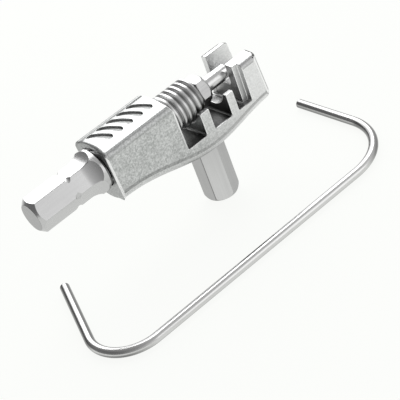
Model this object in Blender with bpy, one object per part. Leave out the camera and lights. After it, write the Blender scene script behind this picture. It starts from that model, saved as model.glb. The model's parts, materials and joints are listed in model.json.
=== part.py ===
"""Bicycle chain tool: a cast body with a screw driven pin, a hex stub and a loose wire hook.

The origin is the middle of the stub's end. X runs along the screw towards the end block,
Y runs from the front face to the far face and Z runs up to the open side of the chain cradle.
"""

import math

import bmesh
import bpy
from mathutils import Vector

# Driving sizes, in metres
CLEARANCE = 0.0003
RUNNING_CLEARANCE = 0.00015
CUT_MARGIN = 0.0020
TURNED_STEPS = 24
ARC_STEPS = 5

# Body, with heights measured up or down from the screw's axis
BODY_WIDTH = 0.0100
BLOCK_LENGTH = 0.0155
BLOCK_SLANT = 0.0007
BLOCK_TOP_HEIGHT = 0.0046
BLOCK_CROWN = 0.0007
BLOCK_TOP_ROUND = 0.0015
BELLY_ROUND = 0.0026
BELLY_CROWN = 0.0004
BELLY_LEFT_DEPTH = 0.0066
BELLY_DEPTH = 0.0105
BELLY_RIGHT_DEPTH = 0.0086
BELLY_LEFT_SWEEP = 2.4
BELLY_RIGHT_SWEEP = 2.0
LEFT_END_ROUND = 0.0005
LEFT_END_LEAN = 0.0004
RIGHT_END_ROUND = 0.0016
RIGHT_END_LEAN = 0.0009
LOFT_STEP = 0.0018
WIDEST_ROUND = 0.9

# Chain cradle and end block
CRADLE_FLOOR_DEPTH = 0.0058
CRADLE_FILLET = 0.0004
FIRST_NOTCH = 0.0048
FIRST_RIB = 0.0022
SECOND_NOTCH = 0.0045
SECOND_RIB = 0.0018
THIRD_NOTCH = 0.0022
TINE_TOP_DEPTH = 0.0012
FRONT_WALL = 0.0012
FRONT_RECESS = 0.0013
END_BLOCK_LENGTH = 0.0065
CHEEK_HEIGHT = 0.0028
CHEEK_THICKNESS = 0.0015
CHEEK_ROUND = 0.0004
NEAR_TOP_HEIGHT = 0.0024
NEAR_TOP_DROP = 0.0002
NEAR_TOP_ROUND = 0.0012
EXIT_DEPTH = 0.0022
EXIT_FILLET = 0.0008

# Grip slots across the top of the block
GRIP_SLOTS = 5
GRIP_PITCH = 0.0024
GRIP_WIDTH = 0.0013
GRIP_LENGTH = 0.0056
GRIP_DEPTH = 0.00035
GRIP_SLANT_DEG = 24.0

# Drive screw
SHANK_ACROSS_FLATS = 0.00635
SHANK_LENGTH = 0.0110
SHANK_CHAMFER = 0.0009
DETENT_FROM_END = 0.0083
DETENT_WIDTH = 0.0014
DETENT_RADIUS = 0.0034
SCALLOP_RADIUS = 0.0050
COLLAR_RADIUS = 0.0044
COLLAR_LENGTH = 0.0007
COLLAR_CHAMFER = 0.0002
THREAD_DIAMETER = 0.0080
THREAD_PITCH = 0.00125
THREAD_ROOT_DIAMETER = 0.00647
THREAD_ROOT_SHARE = 0.25
THREAD_CREST_SHARE = 0.125
SCREW_REACH = 0.0076

# Push pin and the nut that keeps it in the nose of the screw
PIN_DIAMETER = 0.0031
PIN_HEAD_DIAMETER = 0.0046
PIN_HEAD_LENGTH = 0.0012
PIN_TIP_CHAMFER = 0.0003
PIN_TIP_PAST_WALL = 0.0009
PIN_BORE_DIAMETER = 0.0053
PIN_BORE_DEPTH = 0.0052
NUT_ACROSS_FLATS = 0.0058
NUT_LENGTH = 0.0025
NUT_CHAMFER = 0.0003
NUT_SPIGOT_LENGTH = 0.0031

# Hex stub
STUB_ACROSS_FLATS = 0.00635
STUB_FROM_LEFT_END = 0.0227
SCREW_HEIGHT = 0.0226
STUB_WEB = 0.0004
STUB_END_ROUND = 0.0016
STUB_END_RADIUS = 0.0020

# Chain hook
WIRE_DIAMETER = 0.0020
WIRE_RESOLUTION = 3
HOOK_SPAN = 0.0744
HOOK_LEFT_LEG = 0.0292
HOOK_LEFT_ANGLE_DEG = 70.7
HOOK_LEFT_BEND = 0.0081
HOOK_RIGHT_LEG = 0.0282
HOOK_RIGHT_ANGLE_DEG = 88.5
HOOK_RIGHT_BEND = 0.0122
HOOK_BEND_STEPS = 8
HOOK_FORWARD = 0.0213
HOOK_LEFT = 0.0090
HOOK_TURN_DEG = -1.8

# Worked out from the sizes above
HALF_WIDTH = BODY_WIDTH / 2
BODY_LEFT = -STUB_FROM_LEFT_END
BLOCK_RIGHT = BODY_LEFT + BLOCK_LENGTH
CRADLE_LEFT = BLOCK_RIGHT + BLOCK_SLANT
FIRST_RIB_LEFT = CRADLE_LEFT + FIRST_NOTCH
FIRST_RIB_RIGHT = FIRST_RIB_LEFT + FIRST_RIB
SECOND_RIB_LEFT = FIRST_RIB_RIGHT + SECOND_NOTCH
SECOND_RIB_RIGHT = SECOND_RIB_LEFT + SECOND_RIB
END_WALL = SECOND_RIB_RIGHT + THIRD_NOTCH
BODY_RIGHT = END_WALL + END_BLOCK_LENGTH
CRADLE_FLOOR = SCREW_HEIGHT - CRADLE_FLOOR_DEPTH
TINE_TOP = SCREW_HEIGHT - TINE_TOP_DEPTH
BLOCK_TOP = SCREW_HEIGHT + BLOCK_TOP_HEIGHT
CHEEK_TOP = SCREW_HEIGHT + CHEEK_HEIGHT
BODY_CEILING = BLOCK_TOP + BLOCK_CROWN + CUT_MARGIN
BORE_RADIUS = THREAD_DIAMETER / 2 + RUNNING_CLEARANCE
PIN_PASSAGE = PIN_DIAMETER / 2 + CLEARANCE
EXIT_NEAR = -PIN_PASSAGE
EXIT_FAR = HALF_WIDTH - CHEEK_THICKNESS
COLLAR_FACE = BODY_LEFT - CLEARANCE
SCALLOP_RISE = COLLAR_RADIUS - SHANK_ACROSS_FLATS / 2
SCALLOP_LENGTH = math.sqrt(SCALLOP_RADIUS ** 2 - (SCALLOP_RADIUS - SCALLOP_RISE) ** 2)
SCALLOP_START = COLLAR_FACE - COLLAR_LENGTH - SCALLOP_LENGTH
SHANK_END = SCALLOP_START - SHANK_LENGTH
SCREW_NOSE = CRADLE_LEFT + SCREW_REACH
NUT_LEFT = SCREW_NOSE + CLEARANCE
PIN_HEAD_LEFT = SCREW_NOSE - PIN_BORE_DEPTH + CLEARANCE
PIN_TIP = END_WALL + PIN_TIP_PAST_WALL
STUB_TOP = CRADLE_FLOOR - STUB_WEB - CLEARANCE


def clear_scene():
    for item in list(bpy.data.objects):
        bpy.data.objects.remove(item, do_unlink=True)


def make_material(name, colour, roughness):
    """A plain metal finish."""
    material = bpy.data.materials.new(name)
    material.use_nodes = True
    shader = material.node_tree.nodes["Principled BSDF"]
    shader.inputs["Base Color"].default_value = (*colour, 1.0)
    shader.inputs["Metallic"].default_value = 1.0
    shader.inputs["Roughness"].default_value = roughness
    return material


def add_object(name, data, material=None, location=(0.0, 0.0, 0.0), rotation=(0.0, 0.0, 0.0)):
    item = bpy.data.objects.new(name, data)
    item.location = location
    item.rotation_euler = rotation
    bpy.context.scene.collection.objects.link(item)
    if material:
        data.materials.append(material)
    return item


def finish_mesh(name, work, smooth_deg=32.0):
    """Turn a bmesh into a mesh with outward faces and smooth round sides."""
    bmesh.ops.recalc_face_normals(work, faces=work.faces)
    mesh = bpy.data.meshes.new(name)
    work.to_mesh(mesh)
    work.free()
    mesh.shade_smooth()
    mesh.set_sharp_from_angle(angle=math.radians(smooth_deg))
    return mesh


def arc(centre, radius, start_deg, end_deg, steps=ARC_STEPS):
    """Points on a plane arc, both ends included."""
    points = []
    for step in range(steps + 1):
        angle = math.radians(start_deg + (end_deg - start_deg) * step / steps)
        points.append((centre[0] + radius * math.cos(angle), centre[1] + radius * math.sin(angle)))
    return points


def rounded_outline(corners, radii, steps=ARC_STEPS):
    """A closed outline whose corners are filleted by the radius given for each."""
    points = []
    count = len(corners)
    for index, corner in enumerate(corners):
        here = Vector(corner)
        before = (Vector(corners[index - 1]) - here).normalized()
        after = (Vector(corners[(index + 1) % count]) - here).normalized()
        radius = radii[index]
        if radius == 0.0:
            points.append(tuple(here))
            continue
        half_angle = before.angle(after) / 2
        centre = here + (before + after).normalized() * radius / math.sin(half_angle)
        start = here + before * radius / math.tan(half_angle) - centre
        end = here + after * radius / math.tan(half_angle) - centre
        turn = start.angle_signed(end)
        for step in range(steps + 1):
            angle = -turn * step / steps
            spoke = Vector((
                start.x * math.cos(angle) - start.y * math.sin(angle),
                start.x * math.sin(angle) + start.y * math.cos(angle),
            ))
            points.append(tuple(centre + spoke))
    return points


def extruded(name, points, travel):
    """A closed prism: a flat loop of 3-D points swept along a vector."""
    work = bmesh.new()
    face = work.faces.new([work.verts.new(point) for point in points])
    swept = bmesh.ops.extrude_face_region(work, geom=[face])
    moved = [item for item in swept["geom"] if isinstance(item, bmesh.types.BMVert)]
    bmesh.ops.translate(work, verts=moved, vec=travel)
    return finish_mesh(name, work)


def prism_along_y(name, outline, start, end):
    return extruded(name, [(x, start, z) for x, z in outline], (0.0, end - start, 0.0))


def prism_along_x(name, outline, start, end):
    return extruded(name, [(start, y, z) for y, z in outline], (end - start, 0.0, 0.0))


def prism_along_z(name, outline, start, end):
    return extruded(name, [(x, y, start) for x, y in outline], (0.0, 0.0, end - start))


def circle(centre, radius, steps):
    return arc(centre, radius, 0.0, 360.0, steps)[:-1]


def hex_radius(across_flats, angle):
    """Radius of a hexagon with a flat facing angle 0."""
    off_flat = (angle + math.pi / 6) % (math.pi / 3) - math.pi / 6
    return across_flats / 2 / math.cos(off_flat)


def cut(target, name, mesh):
    """Take a hidden cutter out of a piece."""
    cutter = add_object(name, mesh)
    cutter.hide_render = True
    cutter.display_type = "WIRE"
    modifier = target.modifiers.new(name, "BOOLEAN")
    modifier.operation = "DIFFERENCE"
    modifier.solver = "EXACT"
    modifier.object = cutter


def turned(name, column, closed=False, steps=TURNED_STEPS):
    """A piece turned about Z: column(step) lists (height, radius) along one meridian.

    Points of a meridian that fall together become one vertex, so a thread may start and stop.
    """
    work = bmesh.new()
    known = {}

    def vertex(step, height, radius):
        key = (step % steps, round(height * 1e8), round(radius * 1e8))
        if key not in known:
            angle = 2 * math.pi * step / steps
            known[key] = work.verts.new((radius * math.cos(angle), radius * math.sin(angle), height))
        return known[key]

    meridians = [[vertex(step, *point) for point in column(step)] for step in range(steps + 1)]
    rows = len(meridians[0])
    for here, after in zip(meridians, meridians[1:]):
        for row in range(rows if closed else rows - 1):
            following = (row + 1) % rows
            corners = dict.fromkeys((here[row], after[row], after[following], here[following]))
            if len(corners) > 2:
                work.faces.new(corners)
    if not closed:
        work.faces.new([meridian[0] for meridian in meridians[:-1]])
        work.faces.new([meridian[-1] for meridian in meridians[:-1]])
    return finish_mesh(name, work)


def ease(share, sweep):
    """A rise from 0 to 1 that levels out at the end, and starts the flatter the larger the sweep."""
    return math.sin(math.pi / 2 * share) ** sweep


def belly(x):
    """Height of the underside: deepest over the stub and easing up to both ends."""
    if x < 0.0:
        share = (x - BODY_LEFT) / -BODY_LEFT
        depth = BELLY_LEFT_DEPTH + (BELLY_DEPTH - BELLY_LEFT_DEPTH) * ease(share, BELLY_LEFT_SWEEP)
    else:
        share = x / BODY_RIGHT
        depth = BELLY_DEPTH + (BELLY_RIGHT_DEPTH - BELLY_DEPTH) * ease(share, BELLY_RIGHT_SWEEP)
    return SCREW_HEIGHT - depth


def end_inset(distance, radius):
    """How far the sides draw in at this distance from a rounded end."""
    if distance >= radius:
        return 0.0
    return radius - math.sqrt(radius ** 2 - (radius - distance) ** 2)


def crowned(start, height, crown):
    """Points of a bowed line from one side at start to the other side, without its ends."""
    points = []
    for step in range(1, 2 * ARC_STEPS):
        across = 1.0 - step / ARC_STEPS
        points.append((start * across, height + crown * (1.0 - across ** 2)))
    return points


def body_section(x, top, crown, top_round):
    """One cross-section of the casting, as 3-D points."""
    from_left = x - BODY_LEFT
    from_right = BODY_RIGHT - x
    inset = end_inset(from_left, LEFT_END_ROUND) + end_inset(from_right, RIGHT_END_ROUND)
    half = HALF_WIDTH - inset
    low = belly(x) + inset
    high = top - inset
    belly_round = min(BELLY_ROUND, WIDEST_ROUND * half)
    keel = half - belly_round
    shoulder = half - top_round
    outline = arc((-keel, low + belly_round), belly_round, 180.0, 270.0)
    outline += crowned(-keel, low, -BELLY_CROWN)
    outline += arc((keel, low + belly_round), belly_round, 270.0, 360.0)
    outline += arc((shoulder, high - top_round), top_round, 0.0, 90.0)
    outline += crowned(shoulder, high, crown)
    outline += arc((-shoulder, high - top_round), top_round, 90.0, 180.0)
    points = []
    for y, z in outline:
        up = (z - low) / (high - low)
        lean = 0.0
        if from_left < LEFT_END_ROUND:
            lean = LEFT_END_LEAN * (1.0 - up)
        if from_right < END_BLOCK_LENGTH:
            lean = -RIGHT_END_LEAN * up * (1.0 - from_right / END_BLOCK_LENGTH)
        points.append((x + lean, y, z))
    return points


def even_stations(start, end):
    """Places along X about one loft step apart, both ends included."""
    count = max(1, round((end - start) / LOFT_STEP))
    return [start + (end - start) * step / count for step in range(count + 1)]


def end_stations(radius):
    """Distances from a rounded end at which the sides are sampled."""
    return [radius * (1.0 - math.cos(math.pi / 2 * step / ARC_STEPS)) for step in range(ARC_STEPS)]


def casting():
    """The body's outer form, lofted from its left end to its right end."""
    left = [BODY_LEFT + distance for distance in end_stations(LEFT_END_ROUND)]
    left += even_stations(BODY_LEFT + LEFT_END_ROUND, BLOCK_RIGHT)
    right = even_stations(CRADLE_LEFT, BODY_RIGHT - RIGHT_END_ROUND)
    right += [BODY_RIGHT - distance for distance in reversed(end_stations(RIGHT_END_ROUND))]
    sections = [body_section(x, BLOCK_TOP, BLOCK_CROWN, BLOCK_TOP_ROUND) for x in left]
    sections += [body_section(x, CHEEK_TOP, 0.0, CHEEK_ROUND) for x in right]
    work = bmesh.new()
    loops = [[work.verts.new(point) for point in section] for section in sections]
    for here, after in zip(loops, loops[1:]):
        for index in range(len(here)):
            work.faces.new((here[index - 1], here[index], after[index], after[index - 1]))
    work.faces.new(loops[0])
    work.faces.new(loops[-1])
    return finish_mesh("body", work)


def cradle_cutter():
    """The open side of the cradle, with its two ribs left standing."""
    corners = [
        (CRADLE_LEFT, BODY_CEILING),
        (CRADLE_LEFT, CRADLE_FLOOR),
        (FIRST_RIB_LEFT, CRADLE_FLOOR),
        (FIRST_RIB_LEFT, TINE_TOP),
        (FIRST_RIB_RIGHT, TINE_TOP),
        (FIRST_RIB_RIGHT, CRADLE_FLOOR),
        (SECOND_RIB_LEFT, CRADLE_FLOOR),
        (SECOND_RIB_LEFT, TINE_TOP),
        (SECOND_RIB_RIGHT, TINE_TOP),
        (SECOND_RIB_RIGHT, CRADLE_FLOOR),
        (END_WALL, CRADLE_FLOOR),
        (END_WALL, BODY_CEILING),
    ]
    radii = [CRADLE_FILLET if z == CRADLE_FLOOR else 0.0 for _, z in corners]
    outline = rounded_outline(corners, radii)
    reach = HALF_WIDTH + CUT_MARGIN
    return prism_along_y("cradle_cutter", outline, -reach, reach)


def saddle_cutter():
    """The round seat that the chain's rollers lie in."""
    outline = circle((0.0, SCREW_HEIGHT), BORE_RADIUS, 2 * TURNED_STEPS)
    start = FIRST_RIB_LEFT - FIRST_NOTCH / 2
    end = SECOND_RIB_RIGHT + THIRD_NOTCH / 2
    return prism_along_x("saddle_cutter", outline, start, end)


def bore_cutter():
    """A plain hole in place of the tapped thread."""
    outline = circle((0.0, SCREW_HEIGHT), BORE_RADIUS, 2 * TURNED_STEPS)
    return prism_along_x("bore_cutter", outline, BODY_LEFT - CUT_MARGIN, CRADLE_LEFT + FIRST_NOTCH / 2)


def front_recess_cutter():
    """The wider notch in the front wall, in front of the end wall."""
    left = END_WALL - THIRD_NOTCH / 2
    right = END_WALL + FRONT_RECESS
    corners = [(left, BODY_CEILING), (left, CRADLE_FLOOR), (right, CRADLE_FLOOR), (right, BODY_CEILING)]
    outline = rounded_outline(corners, [0.0, 0.0, CRADLE_FILLET, 0.0])
    start = -HALF_WIDTH - CUT_MARGIN
    return prism_along_y("front_recess_cutter", outline, start, -HALF_WIDTH + FRONT_WALL)


def exit_cutter():
    """The channel that the driven chain pin comes out through."""
    floor = SCREW_HEIGHT - EXIT_DEPTH
    corners = [(EXIT_NEAR, BODY_CEILING), (EXIT_NEAR, floor), (EXIT_FAR, floor), (EXIT_FAR, BODY_CEILING)]
    outline = rounded_outline(corners, [0.0, EXIT_FILLET, EXIT_FILLET, 0.0])
    return prism_along_x("exit_cutter", outline, END_WALL - THIRD_NOTCH / 2, BODY_RIGHT + CUT_MARGIN)


def near_top_cutter():
    """Lowers the near half of the end block to a sloping top with a round front edge."""
    inner = SCREW_HEIGHT + NEAR_TOP_HEIGHT
    outer = inner - NEAR_TOP_DROP
    reach = -HALF_WIDTH - CUT_MARGIN
    middle = (EXIT_NEAR + EXIT_FAR) / 2
    centre = (-HALF_WIDTH + NEAR_TOP_ROUND, outer - NEAR_TOP_ROUND)
    outline = [(middle, BODY_CEILING), (middle, inner), (EXIT_NEAR, inner)]
    outline += arc(centre, NEAR_TOP_ROUND, 90.0, 180.0)
    outline += [(reach, outer - NEAR_TOP_ROUND), (reach, BODY_CEILING)]
    return prism_along_x("near_top_cutter", outline, END_WALL - THIRD_NOTCH / 2, BODY_RIGHT + CUT_MARGIN)


def stub_socket_cutter():
    """The hex hole in the belly that takes the stub."""
    flats = STUB_ACROSS_FLATS + 2 * CLEARANCE
    outline = []
    for step in range(6):
        angle = math.radians(30.0 + 60.0 * step)
        radius = hex_radius(flats, angle)
        outline.append((radius * math.cos(angle), radius * math.sin(angle)))
    return prism_along_z("stub_socket_cutter", outline, 0.0, STUB_TOP + CLEARANCE)


def grip_slot_cutter(index):
    """One slanting slot with round ends, sunk into the crowned top."""
    middle = BODY_LEFT + BLOCK_LENGTH / 2
    offset = index - (GRIP_SLOTS - 1) / 2
    half_straight = (GRIP_LENGTH - GRIP_WIDTH) / 2
    outline = arc((0.0, half_straight), GRIP_WIDTH / 2, 0.0, 180.0)
    outline += arc((0.0, -half_straight), GRIP_WIDTH / 2, 180.0, 360.0)
    slant = math.radians(GRIP_SLANT_DEG)
    placed = []
    for x, y in outline:
        turned_x = x * math.cos(slant) - y * math.sin(slant)
        turned_y = x * math.sin(slant) + y * math.cos(slant)
        placed.append((middle + offset * GRIP_PITCH + turned_x, turned_y))
    floor = BLOCK_TOP + BLOCK_CROWN / 2 - GRIP_DEPTH
    return prism_along_z(f"grip_slot_cutter_{index}", placed, floor, BODY_CEILING)


def build_body():
    finish = make_material("cast_steel", (0.52, 0.53, 0.525), 0.35)
    body = add_object("body", casting(), finish)
    cut(body, "cradle_cutter", cradle_cutter())
    cut(body, "saddle_cutter", saddle_cutter())
    cut(body, "bore_cutter", bore_cutter())
    cut(body, "front_recess_cutter", front_recess_cutter())
    cut(body, "exit_cutter", exit_cutter())
    cut(body, "near_top_cutter", near_top_cutter())
    cut(body, "stub_socket_cutter", stub_socket_cutter())
    for index in range(GRIP_SLOTS):
        cut(body, f"grip_slot_cutter_{index}", grip_slot_cutter(index))


def shank_rows(angle):
    """Heights and radii of the hex shank and collar, up to the collar's face."""
    corner = hex_radius(SHANK_ACROSS_FLATS, angle)
    corner_radius = SHANK_ACROSS_FLATS / math.sqrt(3)
    rows = []
    for step in range(ARC_STEPS + 1):
        run = SHANK_CHAMFER * step / ARC_STEPS
        rows.append((SHANK_END + run, min(corner, corner_radius - SHANK_CHAMFER + run)))
    detent = SHANK_END + DETENT_FROM_END
    groove_depth = corner_radius - DETENT_RADIUS
    for step in range(2 * ARC_STEPS + 1):
        across = step / ARC_STEPS - 1.0
        groove = corner_radius - groove_depth * (1.0 - across ** 2)
        rows.append((detent + across * DETENT_WIDTH / 2, min(corner, groove)))
    for step in range(2 * ARC_STEPS + 1):
        run = SCALLOP_LENGTH * step / (2 * ARC_STEPS)
        lift = SCALLOP_RADIUS - math.sqrt(SCALLOP_RADIUS ** 2 - run ** 2)
        share = 1.0 + 2.0 * lift / SHANK_ACROSS_FLATS
        rows.append((SCALLOP_START + run, min(corner * share, COLLAR_RADIUS)))
    rows.append((COLLAR_FACE - COLLAR_CHAMFER, COLLAR_RADIUS))
    rows.append((COLLAR_FACE, COLLAR_RADIUS - COLLAR_CHAMFER))
    return rows


def thread_rows(share_of_turn, start, end):
    """Heights and radii of a right-hand thread along one meridian, held between two faces."""
    root = THREAD_ROOT_DIAMETER / 2
    crest = THREAD_DIAMETER / 2
    flank = (1.0 - THREAD_ROOT_SHARE - THREAD_CREST_SHARE) / 2
    rise = THREAD_ROOT_SHARE + flank
    profile = [(0.0, root), (THREAD_ROOT_SHARE, root), (rise, crest), (rise + THREAD_CREST_SHARE, crest)]
    turns = math.ceil((end - start) / THREAD_PITCH) + 1
    rows = []
    for turn in range(turns + 1):
        for share, radius in profile:
            height = start + THREAD_PITCH * (turn + share + share_of_turn - 1.0)
            if height <= start or height >= end:
                rows.append((min(max(height, start), end), root))
            else:
                rows.append((height, min(radius, root + end - height)))
    return rows


def screw_column(step):
    angle = 2 * math.pi * step / TURNED_STEPS
    bore = PIN_BORE_DIAMETER / 2
    rows = shank_rows(angle)
    rows += thread_rows(step / TURNED_STEPS, COLLAR_FACE, SCREW_NOSE)
    rows += [(SCREW_NOSE, bore), (SCREW_NOSE - PIN_BORE_DEPTH, bore)]
    return rows


def pin_column(_):
    radius = PIN_DIAMETER / 2
    head = PIN_HEAD_DIAMETER / 2
    return [
        (PIN_HEAD_LEFT, head - PIN_TIP_CHAMFER),
        (PIN_HEAD_LEFT + PIN_TIP_CHAMFER, head),
        (PIN_HEAD_LEFT + PIN_HEAD_LENGTH, head),
        (PIN_HEAD_LEFT + PIN_HEAD_LENGTH, radius),
        (PIN_TIP - PIN_TIP_CHAMFER, radius),
        (PIN_TIP, radius - PIN_TIP_CHAMFER),
    ]


def nut_column(step):
    flats = hex_radius(NUT_ACROSS_FLATS, 2 * math.pi * step / TURNED_STEPS)
    corner = NUT_ACROSS_FLATS / math.sqrt(3)
    spigot = PIN_BORE_DIAMETER / 2 - CLEARANCE
    right = NUT_LEFT + NUT_LENGTH
    left = SCREW_NOSE - NUT_SPIGOT_LENGTH
    return [
        (left, PIN_PASSAGE),
        (left, spigot),
        (NUT_LEFT, spigot),
        (NUT_LEFT, min(flats, corner - NUT_CHAMFER)),
        (NUT_LEFT + NUT_CHAMFER, flats),
        (right - NUT_CHAMFER, flats),
        (right, min(flats, corner - NUT_CHAMFER)),
        (right, PIN_PASSAGE),
    ]


def stub_column(step):
    flats = hex_radius(STUB_ACROSS_FLATS, 2 * math.pi * step / TURNED_STEPS)
    corner = STUB_ACROSS_FLATS / math.sqrt(3)
    rows = []
    for turn in range(ARC_STEPS + 1):
        angle = math.pi / 2 * turn / ARC_STEPS
        dome = STUB_END_RADIUS + (corner - STUB_END_RADIUS) * math.sin(angle)
        rows.append((STUB_END_ROUND * (1.0 - math.cos(angle)), min(flats, dome)))
    rows.append((STUB_TOP, flats))
    return rows


def build_screw():
    """The pieces on the screw's axis, turned about Z and laid along X."""
    axis = bpy.data.objects.new("screw_axis", None)
    axis.location = (0.0, 0.0, SCREW_HEIGHT)
    axis.rotation_euler = (0.0, math.pi / 2, 0.0)
    bpy.context.scene.collection.objects.link(axis)
    steel = make_material("turned_steel", (0.56, 0.56, 0.56), 0.27)
    hard = make_material("ground_steel", (0.62, 0.62, 0.62), 0.18)
    pieces = [
        add_object("drive_screw", turned("drive_screw", screw_column), steel),
        add_object("push_pin", turned("push_pin", pin_column), hard),
        add_object("pin_nut", turned("pin_nut", nut_column, closed=True), steel),
    ]
    for piece in pieces:
        piece.parent = axis


def build_stub():
    steel = make_material("drawn_steel", (0.52, 0.52, 0.52), 0.32)
    add_object("hex_stub", turned("hex_stub", stub_column), steel)


def build_hook():
    """A wire bent into an open hook, lying on the table in front of the tool."""
    left = math.radians(HOOK_LEFT_ANGLE_DEG)
    right = math.radians(HOOK_RIGHT_ANGLE_DEG)
    corner = HOOK_SPAN / 2
    left_tip = (-corner + HOOK_LEFT_LEG * math.cos(left), HOOK_LEFT_LEG * math.sin(left))
    right_tip = (corner - HOOK_RIGHT_LEG * math.cos(right), HOOK_RIGHT_LEG * math.sin(right))
    outline = rounded_outline(
        [left_tip, (-corner, 0.0), (corner, 0.0), right_tip],
        [0.0, HOOK_LEFT_BEND, HOOK_RIGHT_BEND, 0.0],
        HOOK_BEND_STEPS,
    )
    curve = bpy.data.curves.new("chain_hook", "CURVE")
    curve.dimensions = "3D"
    curve.bevel_depth = WIRE_DIAMETER / 2
    curve.bevel_resolution = WIRE_RESOLUTION
    curve.use_fill_caps = True
    spline = curve.splines.new("POLY")
    spline.points.add(len(outline) - 1)
    for point, (x, y) in zip(spline.points, outline):
        point.co = (x, y, 0.0, 1.0)
    wire = make_material("bright_wire", (0.62, 0.62, 0.615), 0.17)
    place = (-HOOK_LEFT, -HOOK_FORWARD, WIRE_DIAMETER / 2)
    add_object("chain_hook", curve, wire, place, (0.0, 0.0, math.radians(HOOK_TURN_DEG)))


def main():
    clear_scene()
    build_body()
    build_screw()
    build_stub()
    build_hook()


main()
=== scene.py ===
"""Looks of the bicycle chain tool: cast body, drive screw, push pin, pin nut, hex stub and wire hook.

The frame is the CAD's: the origin is the middle of the stub's end, X runs along the screw towards
the end block, Y runs from the front face to the far face and Z runs up to the open side of the cradle.
"""

import json
import math

import bmesh
import bpy
from mathutils import Matrix, Vector


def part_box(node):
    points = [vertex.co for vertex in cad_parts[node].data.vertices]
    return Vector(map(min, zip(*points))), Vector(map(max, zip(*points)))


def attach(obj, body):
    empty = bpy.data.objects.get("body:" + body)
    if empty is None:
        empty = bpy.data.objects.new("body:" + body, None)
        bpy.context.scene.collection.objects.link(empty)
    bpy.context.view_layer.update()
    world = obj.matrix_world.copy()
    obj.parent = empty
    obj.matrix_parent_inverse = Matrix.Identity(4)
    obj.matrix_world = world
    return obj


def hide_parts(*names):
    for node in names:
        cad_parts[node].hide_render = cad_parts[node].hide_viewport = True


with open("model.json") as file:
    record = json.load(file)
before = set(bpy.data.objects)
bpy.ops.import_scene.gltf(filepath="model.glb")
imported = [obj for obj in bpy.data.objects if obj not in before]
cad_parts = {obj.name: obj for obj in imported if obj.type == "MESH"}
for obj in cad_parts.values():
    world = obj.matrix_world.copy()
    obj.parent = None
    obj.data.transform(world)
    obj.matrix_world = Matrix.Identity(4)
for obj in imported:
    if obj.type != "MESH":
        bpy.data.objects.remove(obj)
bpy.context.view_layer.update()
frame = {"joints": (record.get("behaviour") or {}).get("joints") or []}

# Places taken from the frame, in metres
BODY_LOW, BODY_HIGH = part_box("body")
SCREW_LOW, SCREW_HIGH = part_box("drive_screw")
PIN_LOW, PIN_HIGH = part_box("push_pin")
NUT_LOW, NUT_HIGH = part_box("pin_nut")
STUB_LOW, STUB_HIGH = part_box("hex_stub")
HOOK_LOW, HOOK_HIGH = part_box("chain_hook")
SCREW_TURN = next(joint for joint in frame["joints"] if joint["name"] == "screw_turn")
AXIS_HEIGHT = SCREW_TURN["pos_m"][2]

# Body, with heights measured up or down from the screw's axis
BODY_LEFT = BODY_LOW.x
BODY_RIGHT = BODY_HIGH.x
HALF_WIDTH = BODY_HIGH.y
BLOCK_LENGTH = 0.0155
BLOCK_SLANT = 0.0007
BLOCK_CROWN = 0.0007
BLOCK_TOP_ROUND = 0.0015
BELLY_ROUND = 0.0026
BELLY_CROWN = 0.0004
BELLY_LEFT_DEPTH = 0.0066
BELLY_DEPTH = 0.0105
BELLY_RIGHT_DEPTH = 0.0086
BELLY_LEFT_SWEEP = 2.4
BELLY_RIGHT_SWEEP = 2.0
LEFT_END_ROUND = 0.0005
LEFT_TOP_ROUND = 0.0009
LEFT_END_LEAN = 0.0004
RIGHT_END_ROUND = 0.0016
RIGHT_END_LEAN = 0.0009
BELLY_STEPS = 28
ROUND_STEPS = 6
CROWN_STEPS = 14
CROWN_DEPTH = 0.0008
EDGE_BREAK = 0.00013
EDGE_STEPS = 3
WORN_BREAK = 0.0006
WORN_STEPS = 4
HIGHLIGHT_STRIP = 0.0003
ROUNDED_EDGE_DEG = 30.0
SMALL_STEPS = 2

# Chain cradle and end block
CRADLE_FLOOR_DEPTH = 0.0058
CRADLE_FILLET = 0.0004
FIRST_NOTCH = 0.0048
FIRST_RIB = 0.0022
SECOND_NOTCH = 0.0045
SECOND_RIB = 0.0018
THIRD_NOTCH = 0.0022
TINE_TOP_DEPTH = 0.0012
FRONT_WALL = 0.0012
FRONT_RECESS = 0.0013
CHEEK_HEIGHT = 0.0028
CHEEK_THICKNESS = 0.0015
CHEEK_SHADE_LENGTH = 0.0024
NEAR_TOP_HEIGHT = 0.0024
NEAR_TOP_DROP = 0.0002
NEAR_TOP_ROUND = 0.0012
EXIT_DEPTH = 0.0022
EXIT_FILLET = 0.0008
BORE_RADIUS = 0.00415
BORE_LIP = 0.00025
CUT_MARGIN = 0.0020
FILLET_STEPS = 5
CYLINDER_STEPS = 64

# Grip slots across the top of the block
GRIP_SLOTS = 5
GRIP_PITCH = 0.0024
GRIP_WIDTH = 0.0013
GRIP_LENGTH = 0.0056
GRIP_DEPTH = 0.00040
GRIP_SLANT_DEG = 24.0
GRIP_LIP = 0.00008
SLOT_RIM_DEG = 60.0

# Drive screw, push pin, pin nut and stub
ACROSS_FLATS = 0.00635
SHANK_LENGTH = 0.0110
SHANK_CHAMFER = 0.0009
SHANK_CORNER_BREAK = 0.00005
DETENT_FROM_END = 0.0083
DETENT_WIDTH = 0.0014
DETENT_DEPTH = 0.00027
SCALLOP_RADIUS = 0.0050
COLLAR_RADIUS = 0.0044
COLLAR_LENGTH = 0.0007
COLLAR_CHAMFER = 0.0002
THREAD_DIAMETER = 0.0080
THREAD_PITCH = 0.00125
THREAD_ROOT_DIAMETER = 0.0068
THREAD_ROOT_SHARE = 0.14
THREAD_CREST_SHARE = 0.35
THREAD_ROUND = 0.00006
THREAD_RUN_IN = 2
PIN_HEAD_LENGTH = 0.0012
PIN_DIAMETER = 0.0031
PIN_CHAMFER = 0.0003
PIN_BORE_DIAMETER = 0.0053
PIN_BORE_DEPTH = 0.0052
NUT_ACROSS_FLATS = 0.0058
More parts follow.
